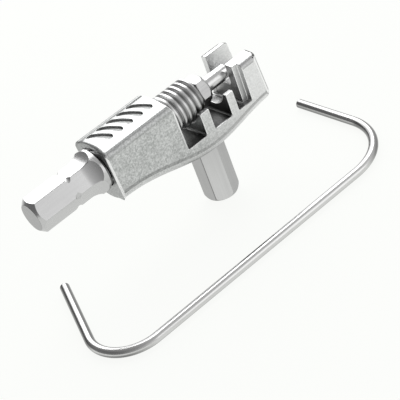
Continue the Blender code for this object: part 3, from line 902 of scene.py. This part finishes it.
def thread(start, end):
    """A right-hand thread between two faces, closed at both."""
    profile = thread_profile()
    work = bmesh.new()
    verts = []
    turns = math.ceil((end - start) / THREAD_PITCH) + THREAD_RUN_IN + 1
    for turn in range(turns):
        foot = start + THREAD_PITCH * (turn - THREAD_RUN_IN)
        for radius, height in profile:
            verts.append(work.verts.new((radius, 0.0, foot + height)))
    edges = [work.edges.new(pair) for pair in zip(verts, verts[1:])]
    rise = THREAD_PITCH / TURNED_STEPS
    bmesh.ops.spin(
        work, geom=verts + edges, cent=(0.0, 0.0, 0.0), axis=(0.0, 0.0, 1.0), dvec=(0.0, 0.0, rise),
        angle=2 * math.pi, steps=TURNED_STEPS,
    )
    bmesh.ops.remove_doubles(work, verts=work.verts, dist=SEAM_GAP)
    for height, side in ((start, -1.0), (end, 1.0)):
        geom = list(work.verts) + list(work.edges) + list(work.faces)
        bmesh.ops.bisect_plane(
            work, geom=geom, dist=CUT_GAP, clear_outer=True,
            plane_co=(0.0, 0.0, height), plane_no=(0.0, 0.0, side),
        )
        rim = []
        for edge in work.edges:
            if edge.is_boundary and abs(edge.verts[0].co.z - height) < MERGE_GAP:
                rim.append(edge)
        bmesh.ops.edgeloop_fill(work, edges=rim)
    bmesh.ops.recalc_face_normals(work, faces=work.faces)
    return work


def nose_envelope(start, end):
    """Chamfers the nose of the thread."""
    crest = THREAD_DIAMETER / 2
    depth = (THREAD_DIAMETER - THREAD_ROOT_DIAMETER) / 2
    return turned([
        (0.0, start - CUT_MARGIN),
        (crest + CUT_MARGIN, start - CUT_MARGIN),
        (crest + CUT_MARGIN, end - depth - CUT_MARGIN),
        (crest - depth, end),
        (0.0, end),
    ])


def break_hex_edges(item):
    work = edit(item)
    round_edges(work, sharp_edges(work, HEX_EDGE_DEG), HEX_EDGE_BREAK, SMALL_STEPS)
    store(item, work)


def make_screw(material):
    screw = piece_from("fine_drive_screw", shank_blank())
    for index in range(HEX_SIDES):
        combine(screw, flat_mill(index), "DIFFERENCE")
    nose = SCREW_HIGH.x
    rod = piece_from("rod", thread(COLLAR_FACE - COLLAR_LENGTH / 2, nose))
    combine(rod, nose_envelope(COLLAR_FACE, nose), "INTERSECT")
    combine(screw, edit(rod), "UNION")
    bpy.data.objects.remove(rod)
    hole = round_bar(PIN_BORE_DIAMETER / 2, nose - PIN_BORE_DEPTH, nose + CUT_MARGIN)
    combine(screw, hole, "DIFFERENCE")
    lay_along_screw(screw)
    finish_piece(screw, "screw", material, SCREW_SMOOTH_DEG)


def make_pin(material):
    radius = PIN_DIAMETER / 2
    head = PIN_HIGH.y
    left = PIN_LOW.x
    tip = PIN_HIGH.x
    pin = piece_from("fine_push_pin", turned([
        (0.0, left),
        (head - PIN_CHAMFER, left),
        (head, left + PIN_CHAMFER),
        (head, left + PIN_HEAD_LENGTH),
        (radius, left + PIN_HEAD_LENGTH),
        (radius, tip - PIN_CHAMFER),
        (radius - PIN_CHAMFER / 3, tip - PIN_CHAMFER / 3),
        (radius - PIN_CHAMFER, tip),
        (0.0, tip),
    ]))
    lay_along_screw(pin)
    finish_piece(pin, "pin_carriage", material)


def make_nut(material):
    left = NUT_HIGH.x - NUT_LENGTH
    corner = NUT_ACROSS_FLATS / math.sqrt(3)
    spigot = PIN_BORE_DIAMETER / 2 - PIN_CLEARANCE
    nut = piece_from("fine_pin_nut", hex_bar(NUT_ACROSS_FLATS, left, NUT_HIGH.x))
    envelope = turned([
        (0.0, left),
        (corner - NUT_CHAMFER, left),
        (corner, left + NUT_CHAMFER),
        (corner, NUT_HIGH.x - NUT_NOSE_CHAMFER),
        (NUT_ACROSS_FLATS / 2 - NUT_CHAMFER, NUT_HIGH.x),
        (0.0, NUT_HIGH.x),
    ])
    combine(nut, envelope, "INTERSECT")
    break_hex_edges(nut)
    combine(nut, round_bar(spigot, NUT_LOW.x, left + NUT_LENGTH / 2), "UNION")
    hole = PIN_DIAMETER / 2 + PIN_CLEARANCE
    combine(nut, round_bar(hole, NUT_LOW.x - CUT_MARGIN, NUT_HIGH.x + CUT_MARGIN), "DIFFERENCE")
    work = edit(nut)
    move(work, about_z(NUT_TURN_DEG))
    store(nut, work)
    lay_along_screw(nut)
    finish_piece(nut, "screw", material)


def mark_stub(work):
    """Mark painted shade on the stub, except on its flats that face the front left and the back right.
    """
    # Painted shade on the stub's sides
    dull = work.faces.layers.float.new("dull")
    turn = math.radians(HEX_SIDE_DEG)
    bright = Vector((math.cos(turn), math.sin(turn), 0.0))
    for face in work.faces:
        facing = math.degrees(math.atan2(face.normal.y, face.normal.x)) % HEX_SIDE_DEG
        on_edge = STUB_EDGE_TURN_DEG < facing < HEX_SIDE_DEG - STUB_EDGE_TURN_DEG
        if on_edge and abs(face.normal.x) > HALF_TURN:
            face[dull] = 1.0
        elif abs(face.normal.dot(bright)) < SQUARE_ON:
            face[dull] = STUB_SIDE_PAINTED_SHADE


def make_stub(material):
    bar = hex_bar(ACROSS_FLATS, STUB_LOW.z, STUB_HIGH.z)
    edges = sharp_edges(bar, HEX_EDGE_DEG)
    upright = [edge for edge in edges if edge.calc_length() > STUB_HIGH.z / 2]
    round_edges(bar, upright, STUB_EDGE_BREAK, SMALL_STEPS)
    stub = piece_from("fine_hex_stub", bar)
    profile = [(0.0, STUB_LOW.z)]
    for step in range(2 * ROUND_STEPS + 1):
        angle = math.pi / 2 * step / (2 * ROUND_STEPS)
        radius = STUB_END_RADIUS + (HEX_CORNER - STUB_END_RADIUS) * math.sin(angle)
        profile.append((radius, STUB_LOW.z + STUB_END_ROUND * (1.0 - math.cos(angle))))
    profile += [(HEX_CORNER, STUB_HIGH.z), (0.0, STUB_HIGH.z)]
    combine(stub, turned(profile), "INTERSECT")
    work = edit(stub)
    mark_stub(work)
    store(stub, work)
    finish_piece(stub, "tool_body", material)


# Chain hook


def sweep_straight(work, ring, step):
    """Sweep a ring of edges along a line and give back the ring at its end."""
    swept = bmesh.ops.extrude_edge_only(work, edges=ring)["geom"]
    verts = of_kind(swept, bmesh.types.BMVert)
    bmesh.ops.translate(work, verts=verts, vec=step)
    edges = of_kind(swept, bmesh.types.BMEdge)
    return [edge for edge in edges if edge.verts[0] in verts and edge.verts[1] in verts]


def sweep_bend(work, ring, centre, angle):
    """Sweep a ring of edges round a bend and give back the ring at its end."""
    swept = bmesh.ops.spin(
        work, geom=ring, cent=centre, axis=(0.0, 0.0, 1.0), angle=angle, steps=BEND_STEPS,
    )
    return of_kind(swept["geom_last"], bmesh.types.BMEdge)


def share_between(value, start, end):
    return min(1.0, max(0.0, (value - start) / (end - start)))


def mark_wire(work):
    """Mark painted shade on the wire: its far and right sides, and its underside."""
    # Painted shade on the wire's far and right sides and underside
    dull = work.verts.layers.float.new("dull")
    work.normal_update()
    for vert in work.verts:
        right = share_between(vert.normal.x, *WIRE_RIGHT_SIDE)
        far = share_between(vert.normal.y, *WIRE_FAR_SIDE) * share_between(vert.normal.y, *WIRE_BACK)
        left_leg = share_between(vert.co.x, WIRE_RUN_LEFT, WIRE_RUN_LEFT - WIRE_BLEND)
        right_leg = share_between(vert.co.y, WIRE_LEG_START, WIRE_LEG_START + WIRE_BLEND)
        leg = max(left_leg, right_leg)
        under = leg * share_between(vert.normal.z, *WIRE_LEG_UNDERSIDE)
        under += (1.0 - leg) * WIRE_RUN_SHARE * share_between(vert.normal.z, *WIRE_RUN_UNDERSIDE)
        vert[dull] = WIRE_PAINTED_SHADE_SHARE * max(right, far, under)


def make_hook(material):
    left = math.radians(HOOK_LEFT_ANGLE_DEG)
    right = math.radians(HOOK_RIGHT_ANGLE_DEG)
    radius = (HOOK_HIGH.z - HOOK_LOW.z) / 2
    half = HOOK_SPAN / 2
    left_trim = HOOK_LEFT_BEND / math.tan(left / 2)
    right_trim = HOOK_RIGHT_BEND / math.tan(right / 2)
    down_left = Vector((-math.cos(left), -math.sin(left), 0.0))
    up_right = Vector((-math.cos(right), math.sin(right), 0.0))
    tip = Vector((-half, 0.0, 0.0)) - down_left * HOOK_LEFT_LEG
    work = bmesh.new()
    bmesh.ops.create_circle(work, segments=WIRE_STEPS, radius=radius - WIRE_INSET)
    facing = down_left.to_track_quat("Z", "Y").to_matrix().to_4x4()
    move(work, Matrix.Translation(tip) @ facing)
    first = list(work.edges)
    ring = sweep_straight(work, first, down_left * (HOOK_LEFT_LEG - left_trim))
    ring = sweep_bend(work, ring, (-half + left_trim, HOOK_LEFT_BEND, 0.0), math.pi - left)
    ring = sweep_straight(work, ring, (HOOK_SPAN - left_trim - right_trim, 0.0, 0.0))
    ring = sweep_bend(work, ring, (half - right_trim, HOOK_RIGHT_BEND, 0.0), math.pi - right)
    last = sweep_straight(work, ring, up_right * (HOOK_RIGHT_LEG - right_trim))
    for end in (first, last):
        bmesh.ops.edgeloop_fill(work, edges=end)
    round_edges(work, first + last, HOOK_TIP_ROUND, ROUND_STEPS)
    bmesh.ops.recalc_face_normals(work, faces=work.faces)
    place = Matrix.Translation((-HOOK_LEFT, -HOOK_FORWARD, radius))
    move(work, place @ about_z(HOOK_TURN_DEG))
    mark_wire(work)
    hook = piece_from("fine_chain_hook", work)
    finish_piece(hook, "hook", material)


# Finishes


def add(tree, kind, inputs=(), **settings):
    """Add a node, set its options, and set or link its inputs by name or by place."""
    node = tree.nodes.new(kind)
    for key, value in settings.items():
        setattr(node, key, value)
    for key, value in dict(inputs).items():
        if isinstance(value, bpy.types.NodeSocket):
            tree.links.new(value, node.inputs[key])
        else:
            node.inputs[key].default_value = value
    return node


def blend(tree, share, first, second):
    """A colour between two others."""
    inputs = {MIX_SHARE: share, MIX_FIRST: first, MIX_SECOND: second}
    return add(tree, "ShaderNodeMix", inputs, data_type="RGBA").outputs[MIX_COLOUR]


def ramp(tree, value, start, end, low, high):
    """A value carried from one range to another and held at its ends."""
    inputs = {"Value": value, "From Min": start, "From Max": end, "To Min": low, "To Max": high}
    return add(tree, "ShaderNodeMapRange", inputs).outputs["Result"]


def reckon(tree, operation, first, second=0.0):
    return add(tree, "ShaderNodeMath", {0: first, 1: second}, operation=operation).outputs["Value"]


def product(tree, *masks):
    """Several masks multiplied together."""
    result = masks[0]
    for mask in masks[1:]:
        result = reckon(tree, "MULTIPLY", result, mask)
    return result


def greatest(tree, *values):
    """The greatest of several values."""
    result = values[0]
    for value in values[1:]:
        result = reckon(tree, "MAXIMUM", result, value)
    return result


def above(tree, value, limit):
    return reckon(tree, "GREATER_THAN", value, limit)


def below(tree, value, limit):
    return reckon(tree, "LESS_THAN", value, limit)


def noise(tree, place, scale, detail):
    inputs = {"Vector": place, "Scale": scale, "Detail": detail}
    return add(tree, "ShaderNodeTexNoise", inputs).outputs["Fac"]


def stretched(tree, place, scale, shift=(0.0, 0.0, 0.0)):
    inputs = {"Vector": place, "Location": shift, "Scale": scale}
    return add(tree, "ShaderNodeMapping", inputs).outputs["Vector"]


def mark(tree, name):
    """A mark that the piece's own mesh carries."""
    return add(tree, "ShaderNodeAttribute", attribute_name=name).outputs["Fac"]


def start_group(name, inputs, outputs):
    """An empty node group with the sockets that it takes and gives."""
    tree = bpy.data.node_groups.new(name, "ShaderNodeTree")
    for socket, kind in inputs.items():
        tree.interface.new_socket(socket, in_out="INPUT", socket_type=kind)
    for socket, kind in outputs.items():
        tree.interface.new_socket(socket, in_out="OUTPUT", socket_type=kind)
    return tree, tree.nodes.new("NodeGroupInput").outputs, tree.nodes.new("NodeGroupOutput").inputs


def use(tree, group, inputs):
    """Place a group in a material with its own values."""
    return add(tree, "ShaderNodeGroup", inputs, node_tree=group).outputs


def layered(tree, fine, broad, fine_share):
    """A tone from fine marks over broad ones."""
    fine_tone = ramp(tree, fine, *MARK_RANGE, 0.0, fine_share)
    return reckon(tree, "ADD", fine_tone, ramp(tree, broad, *MARK_RANGE, 0.0, 1.0 - fine_share))


def make_grain():
    """Bead-blasted skin: fine pits over broad, faint clouds."""
    tree, given, wanted = start_group(
        "blasted_grain",
        {"Place": "NodeSocketVector", "Pits": "NodeSocketFloat", "Clouds": "NodeSocketFloat"},
        {"Tone": "NodeSocketFloat", "Height": "NodeSocketFloat"},
    )
    pits = noise(tree, given["Place"], given["Pits"], FINE_DETAIL)
    clouds = noise(tree, given["Place"], given["Clouds"], BROAD_DETAIL)
    tree.links.new(layered(tree, pits, clouds, PIT_SHARE), wanted["Tone"])
    tree.links.new(pits, wanted["Height"])
    return tree


def make_lines():
    """Tool marks: fine lines, with a broader set under them. The place comes in already stretched."""
    tree, given, wanted = start_group(
        "tool_lines",
        {"Place": "NodeSocketVector", "Count": "NodeSocketFloat"},
        {"Tone": "NodeSocketFloat", "Height": "NodeSocketFloat"},
    )
    fine = noise(tree, given["Place"], given["Count"], FINE_DETAIL)
    few = reckon(tree, "MULTIPLY", given["Count"], BROAD_LINES)
    broad = noise(tree, given["Place"], few, BROAD_DETAIL)
    tree.links.new(layered(tree, fine, broad, FINE_LINE_SHARE), wanted["Tone"])
    tree.links.new(fine, wanted["Height"])
    return tree


def make_film():
    """Patches of thin oil left by handling."""
    tree, given, wanted = start_group(
        "oil_film",
        {"Place": "NodeSocketVector", "Patches": "NodeSocketFloat"},
        {"Film": "NodeSocketFloat"},
    )
    patches = noise(tree, given["Place"], given["Patches"], FILM_DETAIL)
    tree.links.new(ramp(tree, patches, *FILM_RANGE, 0.0, 1.0), wanted["Film"])
    return tree


GRAIN = make_grain()
LINES = make_lines()
FILM = make_film()


def start_metal(name):
    material = bpy.data.materials.new(name)
    material.use_nodes = True
    tree = material.node_tree
    tree.nodes["Principled BSDF"].inputs["Metallic"].default_value = 1.0
    place = tree.nodes.new("ShaderNodeTexCoord").outputs["Object"]
    return material, tree, place


def oiled(tree, place, patches, roughness, change):
    """A roughness that changes where a film of oil is left."""
    film = use(tree, FILM, {"Place": place, "Patches": patches})["Film"]
    return reckon(tree, "ADD", roughness, reckon(tree, "MULTIPLY", film, change))


def finish_metal(tree, colour, roughness, height, depth):
    """Wire the colour, roughness and relief of a metal to its shader."""
    shader = tree.nodes["Principled BSDF"]
    tree.links.new(colour, shader.inputs["Base Color"])
    tree.links.new(roughness, shader.inputs["Roughness"])
    inputs = {"Strength": 1.0, "Distance": depth, "Height": height}
    tree.links.new(add(tree, "ShaderNodeBump", inputs).outputs["Normal"], shader.inputs["Normal"])


def cradle_painted_shade(tree, parts):
    """Share of painted shade that thickens down into the chain cradle and away from the block."""
    across = reckon(tree, "ABSOLUTE", parts["Y"])
    return product(
        tree,
        ramp(tree, parts["X"], CRADLE_LEFT, FIRST_RIB_RIGHT, *CRADLE_SHADE_RANGE),
        ramp(tree, parts["Z"], CHEEK_TOP, CRADLE_FLOOR, 0.0, 1.0),
        above(tree, parts["Z"], CRADLE_FLOOR - EDGE_BREAK),
        ramp(tree, across, HALF_WIDTH - EDGE_BREAK, HALF_WIDTH - FRONT_WALL / 3, 0.0, 1.0),
        above(tree, parts["X"], CRADLE_LEFT - EDGE_BREAK),
        ramp(tree, parts["X"], SECOND_RIB_LEFT, BODY_RIGHT, 1.0, 0.0),
    )


def cheek_painted_shade(tree, parts):
    """Share of painted shade at the left of the cheek's inner face and along the far edge of its top.
    """
    inner_face = product(
        tree,
        ramp(tree, parts["X"], END_WALL, END_WALL + CHEEK_SHADE_LENGTH, CHEEK_SHADE_SHARE, 0.0),
        below(tree, parts["Y"], EXIT_FAR + EDGE_BREAK),
        above(tree, parts["Y"], EXIT_FAR - EDGE_BREAK),
        above(tree, parts["X"], CRADLE_LEFT - EDGE_BREAK),
        ramp(tree, parts["Z"], CHEEK_TOP, AXIS_HEIGHT, CHEEK_TOP_SHADE_SHARE, 1.0),
    )
    far_edge = product(
        tree,
        above(tree, parts["Y"], HALF_WIDTH - WORN_BREAK - HIGHLIGHT_STRIP / 2),
        above(tree, parts["Z"], CHEEK_TOP - EDGE_BREAK),
        above(tree, parts["X"], END_WALL - EDGE_BREAK),
    )
    return greatest(tree, inner_face, far_edge)


def outer_painted_shade(tree, parts):
    """Share of painted shade towards the keel and over the far edge of the block's top."""
    keel = ramp(tree, parts["Z"], BODY_LOW.z, CRADLE_FLOOR, KEEL_SHADE_SHARE, 0.0)
    far_top = ramp(tree, parts["Y"], HALF_WIDTH / 2, HALF_WIDTH, 0.0, FAR_TOP_SHADE_SHARE)
    return greatest(tree, keel, product(tree, far_top, above(tree, parts["Z"], CHEEK_TOP)))


def painted_highlight_strip(tree, parts):
    """Mask of the narrow strip on each side face beside the cradle that takes a painted highlight."""
    across = reckon(tree, "ABSOLUTE", parts["Y"])
    start = CRADLE_LEFT - HIGHLIGHT_STRIP
    return product(
        tree,
        above(tree, across, HALF_WIDTH - EDGE_BREAK),
        ramp(tree, parts["X"], start - EDGE_BREAK, start, 0.0, 1.0),
        below(tree, parts["X"], CRADLE_LEFT + EDGE_BREAK),
        ramp(tree, parts["Z"], CRADLE_FLOOR, AXIS_HEIGHT, 0.0, 1.0),
    )


def blasted_casting():
    """Bead-blasted casting, with painted shade in the cradle, painted highlights along its edges and
    painted light towards the end block.
    """
    material, tree, place = start_metal("blasted_casting")
    parts = add(tree, "ShaderNodeSeparateXYZ", {"Vector": place}).outputs
    skin = use(tree, GRAIN, {"Place": place, "Pits": CAST_PITS, "Clouds": CAST_CLOUDS})
    # Painted highlights: the marked rounds and a strip beside the cradle
    rubbed = greatest(tree, mark(tree, "rubbed"), painted_highlight_strip(tree, parts))
    # Painted shade marked on the mesh: slot floors, left end, rims, corners and side bands
    grime = reckon(tree, "MULTIPLY", mark(tree, "grime"), PAINTED_SHADE_SHARE)
    # Painted shade in the cradle, on the cheek, towards the keel and over the far top
    shaded = greatest(tree, cradle_painted_shade(tree, parts), cheek_painted_shade(tree, parts), outer_painted_shade(tree, parts))
    # Painted light: the casting grows lighter from the cradle to the end block
    wear_and_painted_light = ramp(tree, parts["X"], CRADLE_LEFT, END_WALL + FRONT_RECESS, 0.0, PAINTED_LIGHT_SHARE)
    colour = blend(tree, skin["Tone"], CAST_DARK, CAST_LIGHT)
    colour = blend(tree, wear_and_painted_light, colour, CAST_PAINTED_LIGHT)
    # All the painted shade of the casting darkens the colour here
    colour = blend(tree, greatest(tree, shaded, grime), colour, CRADLE_SHADE)
    colour = blend(tree, reckon(tree, "MULTIPLY", rubbed, PAINTED_HIGHLIGHT_SHARE), colour, CAST_PAINTED_LIGHT)
    roughness = ramp(tree, skin["Tone"], 0.0, 1.0, *CAST_ROUGHNESS)
    roughness = oiled(tree, place, CAST_OIL_PATCHES, roughness, CAST_OIL_CHANGE)
    polish = reckon(tree, "MULTIPLY", rubbed, HIGHLIGHT_POLISH)
    roughness = reckon(tree, "SUBTRACT", roughness, polish)
    finish_metal(tree, colour, roughness, skin["Height"], CAST_RELIEF)
    return material


def satin_screw():
    """Satin metal drawn along the shank and turned from the collar on, with painted shade in its thread
    roots and a darker end face.
    """
    material, tree, place = start_metal("satin_screw")
    parts = add(tree, "ShaderNodeSeparateXYZ", {"Vector": place}).outputs
    drawn = use(tree, LINES, {"Place": stretched(tree, place, DRAWN_STRETCH), "Count": DRAWN_LINES})
    rings = use(tree, LINES, {"Place": stretched(tree, place, RING_STRETCH), "Count": RING_LINES})
    on_lathe = ramp(tree, parts["X"], SCALLOP_START, COLLAR_FACE - COLLAR_LENGTH, 0.0, 1.0)
    straight = reckon(tree, "SUBTRACT", 1.0, on_lathe)
    marks = {}
    for name in ("Tone", "Height"):
        along = reckon(tree, "MULTIPLY", drawn[name], straight)
        round_about = reckon(tree, "MULTIPLY", rings[name], on_lathe)
        marks[name] = reckon(tree, "ADD", along, round_about)
    from_axis = stretched(tree, place, (0.0, 1.0, 1.0), (0.0, 0.0, -AXIS_HEIGHT))
    radius = add(tree, "ShaderNodeVectorMath", {0: from_axis}, operation="LENGTH").outputs["Value"]
    # Painted shade in the roots of the thread
    groove = ramp(tree, radius, THREAD_ROOT_DIAMETER / 2, THREAD_DIAMETER / 2, *ROOT_SHADE_SHARE)
    groove = product(tree, groove, above(tree, parts["X"], COLLAR_FACE))
    # The shank's end face is made darker
    end_face = below(tree, parts["X"], SHANK_END + SHANK_CORNER_BREAK)
    colour = blend(tree, marks["Tone"], SATIN_DARK, SATIN_LIGHT)
    colour = blend(tree, groove, colour, ROOT_SHADE)
    colour = blend(tree, reckon(tree, "MULTIPLY", end_face, END_FACE_DARKENING), colour, ROOT_SHADE)
    roughness = ramp(tree, marks["Tone"], 0.0, 1.0, *SCREW_ROUGHNESS)
    roughness = oiled(tree, place, SCREW_OIL_PATCHES, roughness, OIL_CHANGE)
    finish_metal(tree, colour, roughness, marks["Height"], FINE_RELIEF)
    return material


def lined_metal(name, stretch, count, tones, roughness, relief, painted_shade_tone=None):
    """A metal with one run of tool marks and patches of oil, and painted shade where its mesh is marked
    so.
    """
    material, tree, place = start_metal(name)
    marks = use(tree, LINES, {"Place": stretched(tree, place, stretch), "Count": count})
    colour = blend(tree, marks["Tone"], *tones)
    if painted_shade_tone:
        # Painted shade where the mesh is marked
        colour = blend(tree, mark(tree, "dull"), colour, painted_shade_tone)
    shine = ramp(tree, marks["Tone"], 0.0, 1.0, *roughness)
    shine = oiled(tree, place, OIL_PATCHES, shine, OIL_CHANGE)
    finish_metal(tree, colour, shine, marks["Height"], relief)
    return material


def ground_pin():
    tones = (PIN_DARK, PIN_LIGHT)
    return lined_metal("ground_pin", RING_STRETCH, PIN_LINES, tones, PIN_ROUGHNESS, FINE_RELIEF)


def satin_nut():
    tones = (NUT_DARK, NUT_LIGHT)
    return lined_metal("satin_nut", NUT_STRETCH, NUT_LINES, tones, NUT_ROUGHNESS, DRAWN_RELIEF)


def bright_wire():
    """Drawn wire, bright on top and with painted shade along its sides."""
    tones = (WIRE_DARK, WIRE_LIGHT)
    return lined_metal(
        "bright_wire", WIRE_STRETCH, WIRE_LINES, tones, WIRE_ROUGHNESS, FINE_RELIEF, WIRE_PAINTED_SHADE,
    )


def drawn_stub():
    """Drawn bar, with painted shade on all but the two flats that face the front left and the back
    right.
    """
    tones = (PIN_DARK, PIN_LIGHT)
    return lined_metal(
        "drawn_stub", STUB_STRETCH, STUB_LINES, tones, STUB_ROUGHNESS, DRAWN_RELIEF, STUB_PAINTED_SHADE,
    )


# Stage


def make_camera():
    data = bpy.data.cameras.new("photo_camera")
    data.lens = CAMERA_LENS_MM
    data.sensor_width = CAMERA_SENSOR_MM
    camera = bpy.data.objects.new("photo_camera", data)
    turn = Matrix((CAMERA_RIGHT, CAMERA_UP, CAMERA_BACK)).transposed().to_4x4()
    camera.matrix_world = Matrix.Translation(CAMERA_PLACE) @ turn
    bpy.context.scene.collection.objects.link(camera)
    bpy.context.scene.camera = camera


def make_floor():
    """A white floor that keeps a faint shadow, for the camera and for the metal's reflections alike."""
    work = bmesh.new()
    bmesh.ops.create_grid(work, x_segments=1, y_segments=1, size=FLOOR_HALF)
    bmesh.ops.translate(work, verts=work.verts, vec=(0.0, 0.0, -FLOOR_GAP))
    floor = piece_from("floor", work)
    material = bpy.data.materials.new("pale_floor")
    material.use_nodes = True
    tree = material.node_tree
    tree.nodes.remove(tree.nodes["Principled BSDF"])
    paths = tree.nodes.new("ShaderNodeLightPath").outputs
    seen = reckon(tree, "ADD", paths["Is Camera Ray"], paths["Is Glossy Ray"])
    seen = reckon(tree, "ADD", seen, paths["Is Transmission Ray"])
    share = reckon(tree, "MULTIPLY", seen, FLOOR_WHITE)
    lit = add(tree, "ShaderNodeBsdfDiffuse", {"Color": FLOOR_LIT}).outputs["BSDF"]
    white = add(tree, "ShaderNodeEmission", {"Color": FLOOR_SEEN}).outputs["Emission"]
    mix = add(tree, "ShaderNodeMixShader", {0: share, 1: lit, 2: white})
    tree.links.new(mix.outputs["Shader"], tree.nodes["Material Output"].inputs["Surface"])
    floor.data.materials.append(material)


def make_world():
    """A plain studio: dim on the left of the tool, lighter on its right and dimmer overhead."""
    world = bpy.data.worlds.new("studio")
    world.use_nodes = True
    tree = world.node_tree
    direction = tree.nodes.new("ShaderNodeTexCoord").outputs["Generated"]
    inputs = {0: direction, 1: LIGHT_SIDE}
    sideways = add(tree, "ShaderNodeVectorMath", inputs, operation="DOT_PRODUCT").outputs["Value"]
    upward = add(tree, "ShaderNodeSeparateXYZ", {"Vector": direction}).outputs["Z"]
    level = ramp(tree, sideways, *SIDE_RANGE, *SIDE_LEVELS)
    level = reckon(tree, "MULTIPLY", level, ramp(tree, upward, *RISE_RANGE, *RISE_LEVELS))
    tree.links.new(level, tree.nodes["Background"].inputs["Color"])
    bpy.context.scene.world = world


def make_softbox(name, place, width, height, watts):
    """A rectangular lamp that faces the origin."""
    data = bpy.data.lights.new(name, "AREA")
    data.shape = "RECTANGLE"
    data.size = width
    data.size_y = height
    data.energy = watts
    lamp = bpy.data.objects.new(name, data)
    lamp.location = place
    facing = lamp.location.normalized()
    lamp.rotation_euler = (-math.asin(facing.y), math.atan2(facing.x, facing.z), 0.0)
    bpy.context.scene.collection.objects.link(lamp)


make_body(blasted_casting())
make_screw(satin_screw())
make_pin(ground_pin())
make_nut(satin_nut())
make_stub(drawn_stub())
make_hook(bright_wire())
make_floor()
make_world()
make_softbox("back_softbox", *BACK_SOFTBOX)
make_softbox("front_softbox", *FRONT_SOFTBOX)
make_camera()
bpy.context.scene.view_settings.view_transform = "Standard"
